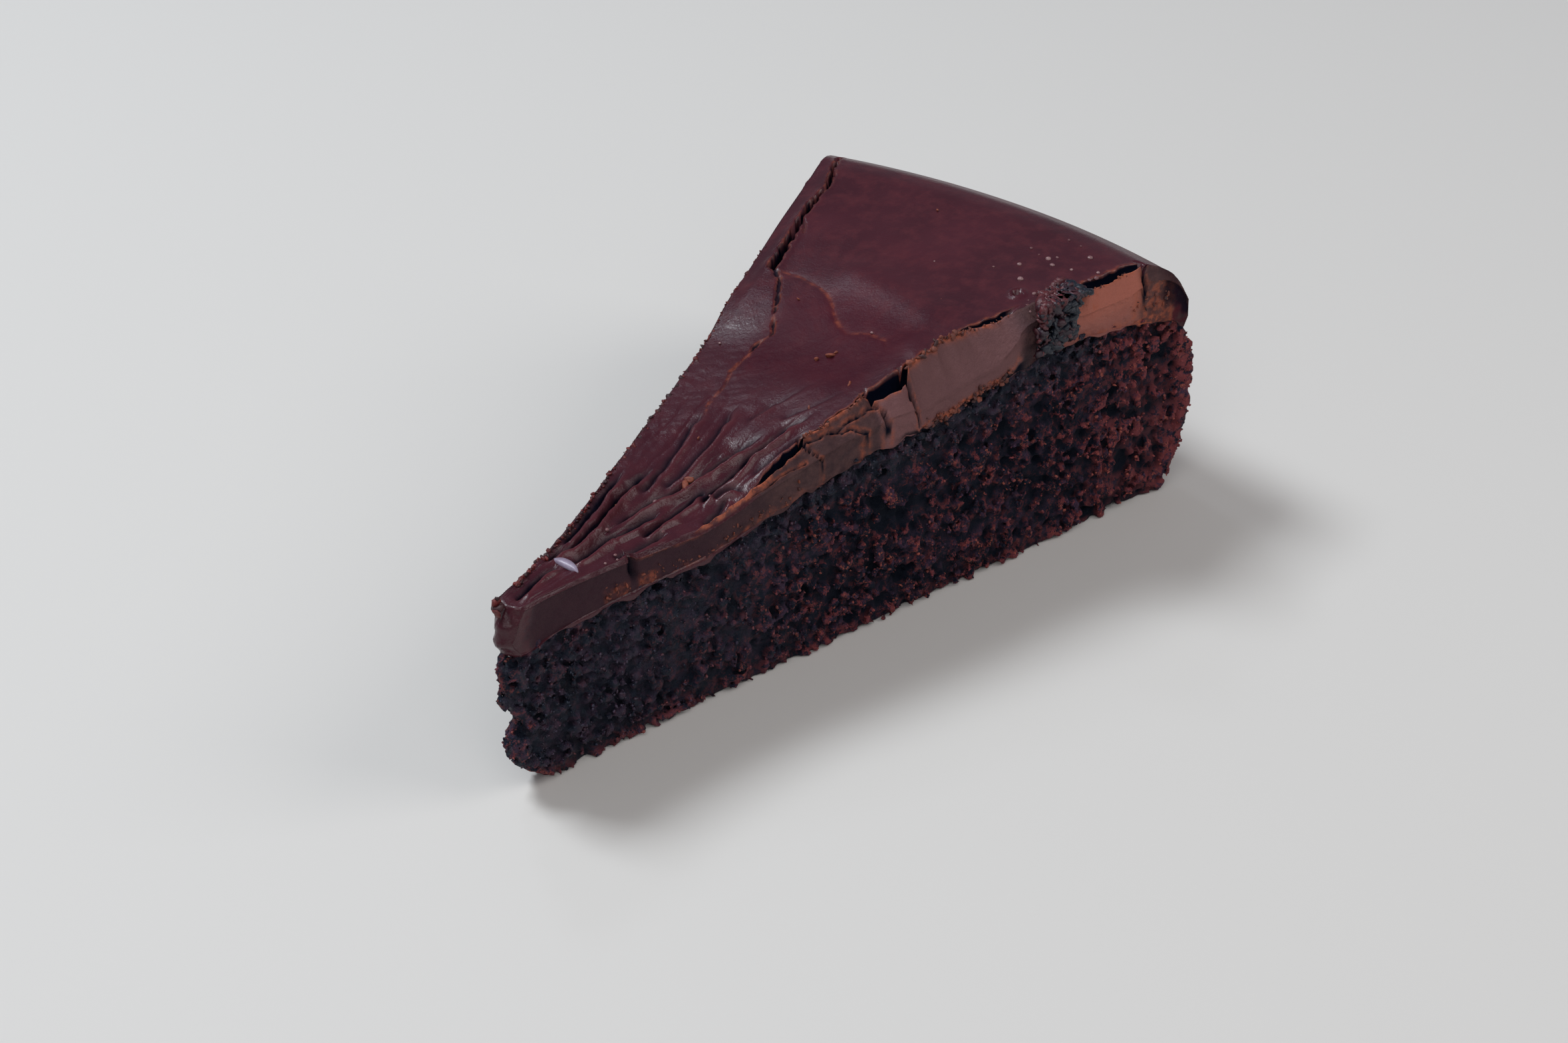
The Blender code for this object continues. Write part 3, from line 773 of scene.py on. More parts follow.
def surface_net(field, lines):
    """The mesh where the field crosses 0, by one point in each crossed cell."""
    solid = field > 0
    inner = [slice(None, -1), slice(1, None)]
    corners = itertools.product((0, 1), repeat=3)
    count = sum(solid[inner[a], inner[b], inner[c]].astype(np.int8) for a, b, c in corners)
    cells = np.stack(np.nonzero((count > 0) & (count < 8)), 1)
    number = np.full(count.shape, -1)
    number[tuple(cells.T)] = np.arange(len(cells))
    total = np.zeros((len(cells), 3))
    crossings = np.zeros(len(cells))
    for axis in range(3):
        others = [other for other in range(3) if other != axis]
        for low, high in itertools.product((0, 1), repeat=2):
            start = np.zeros(3, int)
            start[others[0]], start[others[1]] = low, high
            end = start.copy()
            end[axis] = 1
            first = field[tuple((cells + start).T)]
            second = field[tuple((cells + end).T)]
            crossed = (first > 0) != (second > 0)
            share = np.where(crossed, first / np.where(crossed, first - second, 1), 0)
            spot = start + share[:, None] * (end - start)
            total += spot * crossed[:, None]
            crossings += crossed
    spots = cells + total / crossings[:, None]
    placed = [np.interp(spots[:, axis], np.arange(len(line)), line) for axis, line in enumerate(lines)]
    points = np.stack(placed, 1)
    faces = []
    for axis in range(3):
        one, two = (axis + 1) % 3, (axis + 2) % 3
        before = [slice(1, -1)] * 3
        after = [slice(1, -1)] * 3
        before[axis], after[axis] = slice(0, -1), slice(1, None)
        first, second = solid[tuple(before)], solid[tuple(after)]
        for leaving in (True, False):
            place = np.stack(np.nonzero((first != second) & (first == leaving)), 1)
            place[:, one] += 1
            place[:, two] += 1
            round_edge = []
            for back_one, back_two in ((1, 1), (0, 1), (0, 0), (1, 0)):
                cell = place.copy()
                cell[:, one] -= back_one
                cell[:, two] -= back_two
                round_edge.append(number[tuple(cell.T)])
            quads = np.stack(round_edge, 1)
            faces.append(quads if leaving else quads[:, ::-1])
    return points, np.concatenate(faces)


def largest_part(points, faces):
    """Keeps the one joined surface that is largest, and drops sealed bubbles and loose scraps."""
    label = np.arange(len(points))
    while True:
        lowest = label[faces].min(1)
        new = label.copy()
        for corner in range(4):
            np.minimum.at(new, faces[:, corner], lowest)
        new = new[new]
        if np.array_equal(new, label):
            break
        label = new
    names, sizes = np.unique(label, return_counts=True)
    kept = label == names[sizes.argmax()]
    index = np.cumsum(kept) - 1
    return points[kept], index[faces[kept[faces[:, 0]]]]


def rim_radius(side, height):
    return CAKE_RADIUS + RIM_LEAN * side + outline(SPONGE_SIDE, height)


def sponge_depths(x, y, z):
    """The side, the distance from the centre, and the depths behind the cuts, outer side and point."""
    width = half_width(x)
    side = np.clip(y / width, -1, 1)
    radius = np.hypot(x, y)
    cut = (width - np.abs(y)) * math.cos(HALF_ANGLE)
    rim = rim_radius(side, z) - radius
    tip = x - outline(SPONGE_POINT, z) - NOSE_ROUND * side**2
    return side, radius, cut, rim, tip


def face_points(generator, count, depth):
    """Random points behind the two cuts, the outer side and the point, at the given depths."""
    face = generator.random(count)
    distance = generator.uniform(-1, CAKE_RADIUS, count)
    height = generator.uniform(0, 34, count)
    side = generator.uniform(-1, 1, count)
    sign = np.where(face < NEAR_SHARE, -1, 1)
    cut_y = sign * (half_width(distance) - depth / math.cos(HALF_ANGLE))
    cuts = np.stack([distance, cut_y, height], 1)
    radius = rim_radius(side, height) - depth
    rim = np.stack([radius * np.cos(side * HALF_ANGLE), radius * np.sin(side * HALF_ANGLE), height], 1)
    tip_x = outline(SPONGE_POINT, height) + depth + NOSE_ROUND * side**2
    tip = np.stack([tip_x, side * TIP_HALF_WIDTH * 0.8, height], 1)
    sides = np.where((face > CUTS_SHARE)[:, None], rim, cuts)
    return np.where((face > RIM_SHARE)[:, None], tip, sides)


def sponge_field(lines, generator):
    """Above 0 inside the sponge, in mm from its surface."""
    counts = [len(line) for line in lines]
    x = lines[0][:, None, None]
    y = lines[1][None, :, None]
    z = lines[2][None, None, :]
    side, radius, cut, rim, tip = sponge_depths(x, y, z)
    medium = grid_noise(counts, 2.4, generator)
    coarse = grid_noise(counts, 6.0, generator)
    fine = grid_noise(counts, 0.9, generator)
    tiny = grid_noise(counts, 0.5, generator)
    skin = np.minimum(np.minimum(cut, rim), tip)
    crust = 1 - 0.65 * smooth(4.5, 1.5, rim)
    core = skin - crust * (1.25 + 0.45 * medium + 0.3 * coarse)
    field = core.astype(np.float32)

    size = 0.3 + 0.45 * generator.random(CRUMB_COUNT) ** 1.7
    depth = size * 1.1 + 1.2 * generator.random(CRUMB_COUNT) ** 1.4
    centres = face_points(generator, CRUMB_COUNT, depth)
    stamp(field, lines, centres, size, generator.uniform(0.75, 1.3, (CRUMB_COUNT, 3)), fine, False)
    field += 0.24 * fine + 0.13 * tiny + 0.08 * medium
    for count, small, large, power in PORES:
        size = small + (large - small) * generator.random(count) ** power
        centres = face_points(generator, count, generator.uniform(0.0, 1.2, count))
        moist = 1 - smooth(25, 85, centres[:, 0])
        below = seam_height(centres[:, 0], np.sign(centres[:, 1])) - centres[:, 2]
        kept = generator.random(count) > 0.8 * np.maximum(moist, smooth(7, 2, below))
        cut_away = half_width(centres[:, 0]) - np.abs(centres[:, 1])
        rim_away = CAKE_RADIUS - np.hypot(centres[:, 0], centres[:, 1])
        kept &= np.maximum(cut_away, rim_away) > 2.6
        kept &= (rim_away > 2) | (generator.random(count) < 0.3)
        stretch = generator.uniform(0.7, 1.4, (count, 3))
        stamp(field, lines, centres[kept], size[kept], stretch[kept], fine, True)

    top = seam_height(radius, side) + 0.3 - z
    bottom = z - 0.02 - 0.5 * np.clip(0.5 + medium, 0, 1) * smooth(2.5, 0.3, cut)
    limit = np.minimum(np.minimum(top, bottom), skin - 0.06)
    return np.minimum(field, limit).astype(np.float32)


def sponge_values(points):
    """What each spot of the sponge is like: how deep in a pore, which paints it darker as shade, how moist,
    and how baked, with the base and the point's outline made redder as painted light shining through.
    """
    side, radius, cut, outer, tip = sponge_depths(*points.T)
    below = seam_height(radius, side) - points[:, 2]
    base = smooth(3.5, 0.5, points[:, 2])
    moist = np.maximum(1 - smooth(8, 62, radius), smooth(8, 2.5, below) * (1 - smooth(92, 104, radius)))
    moist = np.clip(moist + 0.25 * noise(points, 6, 51), 0, 1) * (1 - 0.7 * base)
    # Drier, and so redder, along the point's outline: painted light shining through its thin edge
    moist *= 1 - 0.8 * smooth(1.6, 0.2, tip)
    deep = np.minimum(np.minimum(cut, outer), tip)
    near_rim = np.maximum(smooth(1.8, 0.6, outer), smooth(88, 108, radius))
    # Redder near the outer side as baked crust, and at the base and the point's outline as painted light
    # shining through
    baked_and_lit_through = np.maximum.reduce([base * 0.8, near_rim, smooth(-1.4, -3.4, points[:, 0])])
    return {"deep": np.clip(deep / 2.2, 0, 1), "moist": moist, "baked_and_lit_through": baked_and_lit_through}


def make_sponge(material):
    generator = np.random.default_rng(23)
    lines = [np.arange(low, high, VOXEL) for low, high in zip(SPONGE_LOW, SPONGE_HIGH)]
    points, faces = largest_part(*surface_net(sponge_field(lines, generator), lines))
    points[:, 2] = np.maximum(points[:, 2], 0.02)
    piece = mesh_object("sponge_crumb", points, faces, material)
    thin_out(piece, min(1, SPONGE_TRIANGLES / (2 * len(faces))))
    for name, value in sponge_values(points_of(piece)).items():
        add_values(piece, name, value)
    return piece


# Crumbs and other small pieces, each kind joined in one mesh

LUMP_KINDS = 8
GRAIN_COUNT = 8500
CLUMP_COUNT = 760
EDGE_CRUMB_COUNT = 520


def ball(detail):
    """The points and faces of an icosphere of radius 1."""
    shape = bmesh.new()
    bmesh.ops.create_icosphere(shape, subdivisions=detail, radius=1.0)
    points = np.array([corner.co for corner in shape.verts])
    faces = np.array([[corner.index for corner in face.verts] for face in shape.faces])
    shape.free()
    return points, faces


def lump_shape(generator, detail, roughness):
    """One rough lump, about 2 across."""
    points, faces = ball(detail)
    seed = int(generator.integers(100, 900))
    rough = 0.6 * noise(points, 0.85, seed) + 0.3 * noise(points, 0.42, seed + 1)
    return points * (1 + roughness * rough)[:, None], faces


def random_turns(generator, count):
    """Random rotation matrices."""
    turns, _ = np.linalg.qr(generator.normal(size=(count, 3, 3)))
    return turns * np.sign(np.linalg.det(turns))[:, None, None]


def join_lumps(
    name, centres, sizes, material, generator, detail=1, flatness=0.0, round_ones=False, tones=None,
):
    """Rough or round lumps at the given places, joined in one mesh, each with a tone of its own."""
    kinds = [lump_shape(generator, detail, 0.1 if round_ones else 1.0) for _ in range(LUMP_KINDS)]
    count = len(centres)
    turns = np.repeat(np.eye(3)[None], count, 0) if round_ones else random_turns(generator, count)
    stretch = generator.uniform(0.85 if round_ones else 0.55, 1.1 if round_ones else 1.4, (count, 3))
    stretch[:, 2] *= 1 - flatness * generator.uniform(0.6, 1, count)
    corners = len(kinds[0][0])
    chosen = generator.integers(0, len(kinds), count)
    shapes = np.stack([kind[0] for kind in kinds])[chosen] * (stretch * sizes[:, None])[:, None, :]
    points = np.einsum("nij,nkj->nki", turns, shapes) + centres[:, None, :]
    faces = kinds[0][1][None] + (np.arange(count) * corners)[:, None, None]
    piece = mesh_object(name, points.reshape(-1, 3), faces.reshape(-1, 3), material)
    tones = generator.random(count) if tones is None else tones
    add_values(piece, "tone", np.repeat(tones, corners))
    return piece


def skin_point(x, y, lift=0.0):
    """A point on the icing's top, or above it."""
    x, y = np.asarray(x, float), np.asarray(y, float)
    distance = np.hypot(x, y)
    side = y / half_width(distance)
    return np.stack([x, y, skin_height(distance, side) - 0.1 + lift], -1)


def make_grains(sponge, material):
    """Fine crumbs that stick to the sponge's open faces."""
    generator = np.random.default_rng(31)
    points = points_of(sponge)
    values = sponge_values(points)
    shown = (values["deep"] < 0.42) & (points[:, 2] > 0.6)
    spots = points[shown][generator.choice(shown.sum(), GRAIN_COUNT, replace=False)]
    sizes = 0.08 + 0.17 * generator.random(len(spots)) ** 2
    piece = join_lumps("sponge_grains", spots, sizes, material, generator)
    values = sponge_values(points_of(piece))
    for name in ("moist", "baked_and_lit_through"):
        add_values(piece, name, values[name])
    return piece


def make_clump(material):
    """The dark, moist crumbs dragged over the near edge in a heap, redder where they lie on the skin."""
    generator = np.random.default_rng(41)
    around = generator.uniform(0, 2 * math.pi, CLUMP_COUNT)
    ragged = 0.82 + 0.3 * noise(np.stack([np.cos(around), np.sin(around)], 1), 0.5, 61)
    away = np.sqrt(generator.random(CLUMP_COUNT)) * ragged
    level = away * np.sin(around)
    distance = CLUMP_AT + CLUMP_HALF * away * np.cos(around) + 3.0 * np.maximum(-level, 0) - 0.5 * level
    width = half_width(distance)
    top = skin_height(distance, np.full(CLUMP_COUNT, -1.0))
    inward = 4.4 * smooth(-0.15, -1, level) + 0.25 * generator.normal(size=CLUMP_COUNT)
    heap = CLUMP_RISE * np.clip(1.1 - away, 0, 1) ** 0.5 * smooth(0.35, -0.2, level)
    z = top + heap - CLUMP_FALL * smooth(-0.15, 1, level)
    y = -width + np.clip(inward, -0.3, 5)
    centres = np.stack([distance * math.cos(HALF_ANGLE), y, z], 1)
    sizes = 0.2 + 0.6 * generator.random(CLUMP_COUNT) ** 2.6
    leftward = -away * np.cos(around)
    tones = 0.15 + 0.75 * smooth(-0.3, 0.6, leftward - level)
    tones += 0.4 * generator.normal(size=CLUMP_COUNT)
    tones = np.clip(tones, 0, 1)
    return join_lumps("crumb_clump", centres, sizes, material, generator, 2, 0.3, tones=tones)


# Tiny bubbles in the skin, by their places on it
BUBBLES = (
    (83.2, -20.2), (84.4, -19.6), (85.4, -20.4), (86.3, -19.3), (87.4, -20), (82, -21.4),
    (19.2, 0.8), (13.7, -3.4), (15.9, -3.2), (15.3, -4), (28.1, 0.1), (23.9, -4.3), (33.2, -4.7),
    (102, -15.1), (97.1, -12), (101.4, -17.4), (96.8, -16.4), (95.8, -15.6), (94.6, -17), (94.9, -19.9),
    (96.3, -23.3), (99.3, -20.2), (93.8, -23.4), (94.8, -23.9), (88.8, -15.5), (87, -2.6), (89.8, -10.5),
    (92.3, -13.1), (96.1, -13.9), (68.8, -4.8), (60, 14.2),
)


def make_bubbles(material):
    """Small round blisters, half sunk in the skin."""
    generator = np.random.default_rng(43)
    centres = skin_point(*np.transpose(BUBBLES), 0.02)
    sizes = 0.16 + 0.24 * generator.random(len(centres)) ** 1.5
    return join_lumps("skin_bubbles", centres, sizes, material, generator, 3, 0.3, round_ones=True)


# Loose crumbs on the skin, as (x, y, size)
LOOSE = (
    (62.8, -2.2, 0.5), (61.5, -0.9, 0.35), (58.1, -8.8, 0.35), (32.9, -1.1, 0.75), (34, -0.6, 0.5),
    (31.8, -1.3, 0.4), (63.6, -2.6, 0.3), (41, 3.2, 0.22), (52, -6.6, 0.25), (71, 9, 0.22),
    (24, 3.1, 0.3), (79, -9, 0.2), (99, 5, 0.2),
)

# Torn flakes along the icing's broken edges: (start, end, count, line, scatter in height, largest)
FLAKE_RUNS = (
    (65.5, 76, 80, "plate_top", 0.2, 0.5), (76, 83, 20, "plate_top", 0.1, 0.22),
    (47, 58, 34, "plate_top", 0.2, 0.3),
    (91, 104, 34, "plate_top", 0.12, 0.22), (66, 82, 110, "foot", 0.5, 0.4),
    (13.5, 17.2, 18, "foot", 0.6, 0.26), (19.2, 23, 18, "foot", 0.6, 0.26), (24, 46, 60, "foot", 0.4, 0.24),
    (104, 112, 30, "cut_middle", 1.2, 0.35),
)


def make_flakes(lines, material):
    """Orange-brown flakes along the torn lips, and the loose crumbs on the skin."""
    generator = np.random.default_rng(47)
    loose = np.array(LOOSE)
    places = [skin_point(loose[:, 0], loose[:, 1], 0.1)]
    sizes = [loose[:, 2]]
    tones = [np.full(len(loose), 0.9)]
    for start, end, count, line, scatter, largest in FLAKE_RUNS:
        spots = on_line(lines[line], generator.uniform(start, end, count))
        spots[:, 2] += generator.normal(0, scatter, count)
        spots[:, 1] += generator.normal(0, 0.12, count)
        places.append(spots)
        sizes.append(0.1 + (largest - 0.1) * generator.random(count) ** 2.2)
        tones.append(generator.random(count) ** 0.7)
    centres, sizes, tones = (np.concatenate(part) for part in (places, sizes, tones))
    return join_lumps("torn_flakes", centres, sizes, material, generator, 2, 0.5, tones=tones)


# Dark red crumbs on the blunt point of the icing, as (x, y, z, size)
POINT_CRUMBS = (
    (-1.9, 0.7, 29.2, 0.6), (-1.7, 1, 29.8, 0.5), (-1.6, 0.8, 30.3, 0.35),
    (-2.3, 0.3, 28.7, 0.5), (-1.4, 0.5, 29.1, 0.4),
)


def make_edge_crumbs(lines, material):
    """Dark red crumbs along the far edge of the icing, and the few on its point."""
    generator = np.random.default_rng(53)
    count = EDGE_CRUMB_COUNT
    spots = on_line(lines["far_edge"], 3 + 80 * generator.random(count) ** 1.4)
    spots[:, 1] += generator.normal(-0.05, 0.12, count)
    spots[:, 2] -= 0.6 * generator.random(count) ** 2
    at_point = np.array(POINT_CRUMBS)
    centres = np.concatenate([spots, at_point[:, :3]])
    sizes = np.concatenate([0.09 + 0.24 * generator.random(count) ** 2.5, at_point[:, 3]])
    return join_lumps("edge_crumbs", centres, sizes, material, generator, 2)


# The pale sliver that lies across a fold near the point: its ends, half width and thickness
SLIVER = ((10.3, 2.0), (9.8, -2.3))
SLIVER_HALF = 0.7
SLIVER_THICK = 0.55


def make_sliver(material):
    """A smooth sliver, a little curved and blunt at both ends."""
    (start_x, start_y), (end_x, end_y) = SLIVER
    points, faces = ball(4)
    middle = skin_point((start_x + end_x) / 2, (start_y + end_y) / 2, 0.05)
    turn = math.atan2(end_y - start_y, end_x - start_x)
    along = points[:, 0] * math.hypot(end_x - start_x, end_y - start_y) / 2
    over = points[:, 1] * SLIVER_HALF * (1 - 0.3 * points[:, 0]) + 0.25 * (1 - points[:, 0] ** 2)
    x = middle[0] + along * math.cos(turn) - over * math.sin(turn)
    y = middle[1] + along * math.sin(turn) + over * math.cos(turn)
    z = middle[2] + points[:, 2] * SLIVER_THICK + 0.08 * noise(points, 0.8, 63)
    return mesh_object("pale_sliver", np.stack([x, y, z], 1), faces, material)


# Materials


class Shader:
    """Short names for the nodes of one procedural material."""

    def __init__(self, name):
        self.material = bpy.data.materials.new(name)
        self.material.use_nodes = True
        self.tree = self.material.node_tree
        self.surface = self.tree.nodes["Principled BSDF"]
        self.place = self.tree.nodes.new("ShaderNodeTexCoord").outputs["Object"]

    def link(self, source, target):
        self.tree.links.new(source, target)

    def value(self, name):
        """A value that the mesh's points carry."""
        node = self.tree.nodes.new("ShaderNodeAttribute")
        node.attribute_name = name
        return node.outputs["Fac"]

    def noise(self, scale, detail, roughness=0.5):
        """Noise with the given number of features in a metre."""
        node = self.tree.nodes.new("ShaderNodeTexNoise")
        node.inputs["Scale"].default_value = scale
        node.inputs["Detail"].default_value = detail
        node.inputs["Roughness"].default_value = roughness
        self.link(self.place, node.inputs["Vector"])
        return node.outputs["Fac"]

    def math(self, operation, *values):
        node = self.tree.nodes.new("ShaderNodeMath")
        node.operation = operation
        for socket, value in zip(node.inputs, values):
            if isinstance(value, (int, float)):
                socket.default_value = value
            else:
                self.link(value, socket)
        return node.outputs[0]

    def plus(self, first, second):
        return self.math("ADD", first, second)

    def times(self, first, second):
        return self.math("MULTIPLY", first, second)

    def larger(self, first, second):
        return self.math("MAXIMUM", first, second)

    def span(self, value, low, high, to_low=0.0, to_high=1.0):
        """The value stretched from one range to another, and kept inside it."""
        node = self.tree.nodes.new("ShaderNodeMapRange")
        for name, number in zip(("From Min", "From Max", "To Min", "To Max"), (low, high, to_low, to_high)):
            node.inputs[name].default_value = number
        self.link(value, node.inputs["Value"])
        return node.outputs["Result"]

    def mix(self, share, first, second):
        """One colour over another."""
        node = self.tree.nodes.new("ShaderNodeMix")
        node.data_type = "RGBA"
        for socket, value in ((node.inputs[0], share), (node.inputs[6], first), (node.inputs[7], second)):
            if isinstance(value, (int, float)):
                socket.default_value = value
            elif isinstance(value, tuple):
                socket.default_value = (*value, 1.0)
            else:
                self.link(value, socket)
        return node.outputs[2]

    def tint(self, color, tints):
        """Lays colours over the first, each by the value of that name and a share of it."""
        for name, share, other in tints:
            color = self.mix(self.times(self.value(name), share), color, other)
        return color

    def bump(self, height, distance, strength, under=None):
        """A bumpy normal, on top of the one under it."""
        node = self.tree.nodes.new("ShaderNodeBump")
        node.inputs["Distance"].default_value = distance
        node.inputs["Strength"].default_value = strength
        self.link(height, node.inputs["Height"])
        if under is not None:
            self.link(under, node.inputs["Normal"])
        return node.outputs["Normal"]

    def finish(self, color, roughness, normal, specular=0.5, tint=(1.0, 1.0, 1.0)):
        self.link(color, self.surface.inputs["Base Color"])
        for name, value in (("Roughness", roughness), ("Specular IOR Level", specular)):
            if isinstance(value, float):
                self.surface.inputs[name].default_value = value
            else:
                self.link(value, self.surface.inputs[name])
        self.link(normal, self.surface.inputs["Normal"])
        self.surface.inputs["Specular Tint"].default_value = (*tint, 1.0)
        return self.material


# The icing's skin, its torn inside, and the sponge's crumb
# The skin's purple cast is partly painted reflection of bluish light, on the icing's own dark brown
SKIN = (0.066, 0.0125, 0.0205)
SKIN_DARK = (0.044, 0.0085, 0.0150)
SKIN_LIGHT = (0.100, 0.0200, 0.0260)
TORN = (0.088, 0.042, 0.042)
TORN_DARK = (0.046, 0.022, 0.026)
TORN_TIP = (0.033, 0.0105, 0.0185)
PLATE_PALE = (0.175, 0.080, 0.082)
PLATE_WARM = (0.430, 0.135, 0.092)
# Orange of the broken lips, partly painted rim light
ORANGE = (0.38, 0.096, 0.048)
# Near black with a blue cast, painted as shade in cracks, gaps and deep pores
SHADE_BLACK = (0.0016, 0.0030, 0.0095)
MOIST_SHEEN = (0.70, 0.82, 1.0)
CRUMB_DARK = (0.0020, 0.0040, 0.0140)
CRUMB_MID = (0.058, 0.0270, 0.0540)
CRUMB_RED = (0.225, 0.0470, 0.0500)
CRUMB_LIGHT = (0.48, 0.125, 0.075)
SLIVER_DARK = (0.20, 0.15, 0.21)
SLIVER_LIGHT = (0.34, 0.29, 0.38)

# Finishes of the lumps: the colours of the lowest and the highest tone, and the roughness
LUMP_LOOKS = {
    "moist_crumb_look": ((0.007, 0.011, 0.021), (0.110, 0.018, 0.022), 0.28),
    # Bubbles are painted pale as their glints: painted highlight on glossy domes
    "bubble_look": ((0.14, 0.055, 0.06), (0.32, 0.19, 0.19), 0.16),
    "torn_flake_look": ((0.045, 0.012, 0.012), (0.28, 0.066, 0.032), 0.6),
    "edge_crumb_look": ((0.030, 0.005, 0.008), (0.17, 0.013, 0.011), 0.5),
}


def icing_material():
    """Purplish brown skin, and the browner, duller icing inside where it is torn."""
    shader = Shader("chocolate_icing_look")
    torn = shader.value("torn")
    orange_and_lit_edge = shader.value("orange_and_lit_edge")
    painted_shade = shader.value("painted_shade")
    sunken = shader.value("sunken")
    rim = shader.value("rim")
    color = shader.mix(shader.span(shader.noise(70, 4), 0.35, 0.7), SKIN_DARK, SKIN)
    color = shader.mix(shader.span(shader.noise(380, 5, 0.65), 0.45, 0.72, 0, 0.6), color, SKIN_LIGHT)
    # Fold crests are painted lighter as lit: painted highlight; the sunken middle is darker in its own colour
    color = shader.tint(color, (("sunken", 0.5, SKIN_DARK), ("crest", 0.6, SKIN_LIGHT)))
    torn_color = shader.mix(shader.span(shader.noise(420, 6, 0.65), 0.38, 0.62), TORN_DARK, TORN)
    torn_tints = (("pale", 0.75, PLATE_PALE), ("warm", 0.85, PLATE_WARM), ("tipward", 0.85, TORN_TIP))
    torn_color = shader.tint(torn_color, torn_tints)
    patchy = shader.plus(torn, shader.span(shader.noise(900, 4), 0.3, 0.7, -0.25, 0.25))
    color = shader.mix(shader.span(patchy, 0.35, 0.65), color, torn_color)
    # Orange on the broken lips, partly painted rim light
    orange_and_lit = shader.times(orange_and_lit_edge, shader.span(shader.noise(800, 4, 0.6), 0.42, 0.6, 0.15, 1.0))
    color = shader.mix(orange_and_lit, color, ORANGE)
    # Painted shade turns cracks, gaps and fold valleys near black
    color = shader.mix(painted_shade, color, SHADE_BLACK)
    gloss = shader.span(shader.noise(160, 4, 0.6), 0.3, 0.7, 0.20, 0.28)
    gloss = shader.plus(gloss, shader.times(sunken, 0.02))
    gloss = shader.plus(gloss, shader.times(rim, 0.25))
    rough = shader.plus(gloss, shader.times(shader.larger(torn, painted_shade), 0.34))
    leather = shader.times(shader.noise(1300, 4, 0.65), shader.span(sunken, 0, 1, 0.35, 1.0))
    normal = shader.bump(shader.noise(3600, 3, 0.6), 0.00005, 0.6)
    normal = shader.bump(leather, 0.00014, 0.7, normal)
    broken = shader.times(shader.noise(1500, 5, 0.7), torn)
    normal = shader.bump(broken, 0.00035, 0.8, normal)
    dull = shader.larger(rim, painted_shade)
    dull = shader.larger(dull, shader.times(shader.value("matte"), 0.85))
    dull = shader.larger(dull, shader.times(torn, 0.6))
    return shader.finish(color, rough, normal, shader.span(dull, 0, 1, 0.36, 0.04))


def crumb_color(shader, light):
    """Near-black crumb with red-brown grains, redder where it is drier and baked and where painted light
    shines through, and flecks painted as lit, partly the crumb's own redder grains.
    """
    moist = shader.value("moist")
    baked_and_lit_through = shader.value("baked_and_lit_through")
    dry = shader.span(moist, 0, 1, 1.0, 0.12)
    grainy = shader.span(shader.noise(520, 4, 0.7), 0.46, 0.58)
    grainy = shader.times(grainy, shader.span(moist, 0, 1, 1.0, 0.6))
    color = shader.mix(grainy, CRUMB_DARK, CRUMB_MID)
    warmth = shader.plus(shader.noise(850, 4, 0.75), shader.times(baked_and_lit_through, 0.09))
    color = shader.mix(shader.times(shader.span(warmth, 0.52, 0.60), dry), color, CRUMB_RED)
    return shader.mix(light, color, CRUMB_LIGHT)


def sponge_material():
    shader = Shader("chocolate_sponge_look")
    deep = shader.value("deep")
    moist = shader.value("moist")
    # Flecks painted as lit crumbs, fewer where moist and none deep in pores: partly painted highlight, partly
    # the crumb's own redder grains
    flecks = shader.span(shader.noise(1900, 3, 0.7), 0.54, 0.64)
    clusters = shader.span(shader.noise(330, 3, 0.6), 0.44, 0.60)
    light = shader.times(flecks, clusters)
    light = shader.times(light, shader.span(moist, 0, 1, 0.9, 0.08))
    light = shader.times(light, shader.span(deep, 0.2, 0.6, 1.0, 0.0))
    # Pores are painted near black with depth: painted shade
    color = shader.mix(shader.span(deep, 0.22, 0.75), crumb_color(shader, light), SHADE_BLACK)
    rough = shader.span(moist, 0, 1, 0.8, 0.26)
    normal = shader.bump(shader.noise(3400, 3, 0.7), 0.00022, 0.8)
    normal = shader.bump(shader.noise(1300, 6, 0.7), 0.00065, 1.0, normal)
    return shader.finish(color, rough, normal, shader.span(moist, 0, 1, 0.3, 0.5), MOIST_SHEEN)


def grain_material():
    shader = Shader("sponge_grain_look")
    tone = shader.span(shader.value("tone"), 0.6, 1.0)
    # Grains painted as lit flecks, partly painted highlight
    light = shader.times(tone, shader.span(shader.value("moist"), 0, 1, 0.6, 0.05))
    rough = shader.span(shader.value("moist"), 0, 1, 0.75, 0.35)
    normal = shader.bump(shader.noise(3000, 3, 0.6), 0.00015, 0.7)
    sheen = shader.span(shader.value("moist"), 0, 1, 0.3, 0.7)
    return shader.finish(crumb_color(shader, light), rough, normal, sheen, MOIST_SHEEN)


def tone_material(name):
    """One finish for lumps whose tones run from a low colour to a high one."""
    low, high, roughness = LUMP_LOOKS[name]
    shader = Shader(name)
    color = shader.mix(shader.span(shader.value("tone"), 0.2, 1.0), low, high)
    color = shader.mix(shader.span(shader.noise(1800, 4, 0.6), 0.4, 0.7, 0, 0.5), color, low)
    normal = shader.bump(shader.noise(2600, 4, 0.7), 0.0002, 0.6)
    return shader.finish(color, roughness, normal)


def sliver_material():
    shader = Shader("pale_sliver_look")
    clouds = shader.span(shader.noise(700, 4, 0.6), 0.35, 0.65)
    color = shader.mix(clouds, SLIVER_DARK, SLIVER_LIGHT)
    normal = shader.bump(shader.noise(1800, 4, 0.6), 0.0001, 0.6)
    return shader.finish(color, 0.35, normal)


def plain_material(name, color, roughness):
    material = bpy.data.materials.new(name)
    material.use_nodes = True
    surface = material.node_tree.nodes["Principled BSDF"]
    surface.inputs["Base Color"].default_value = (*color, 1.0)
    surface.inputs["Roughness"].default_value = roughness
    return material


# Stage, light and camera

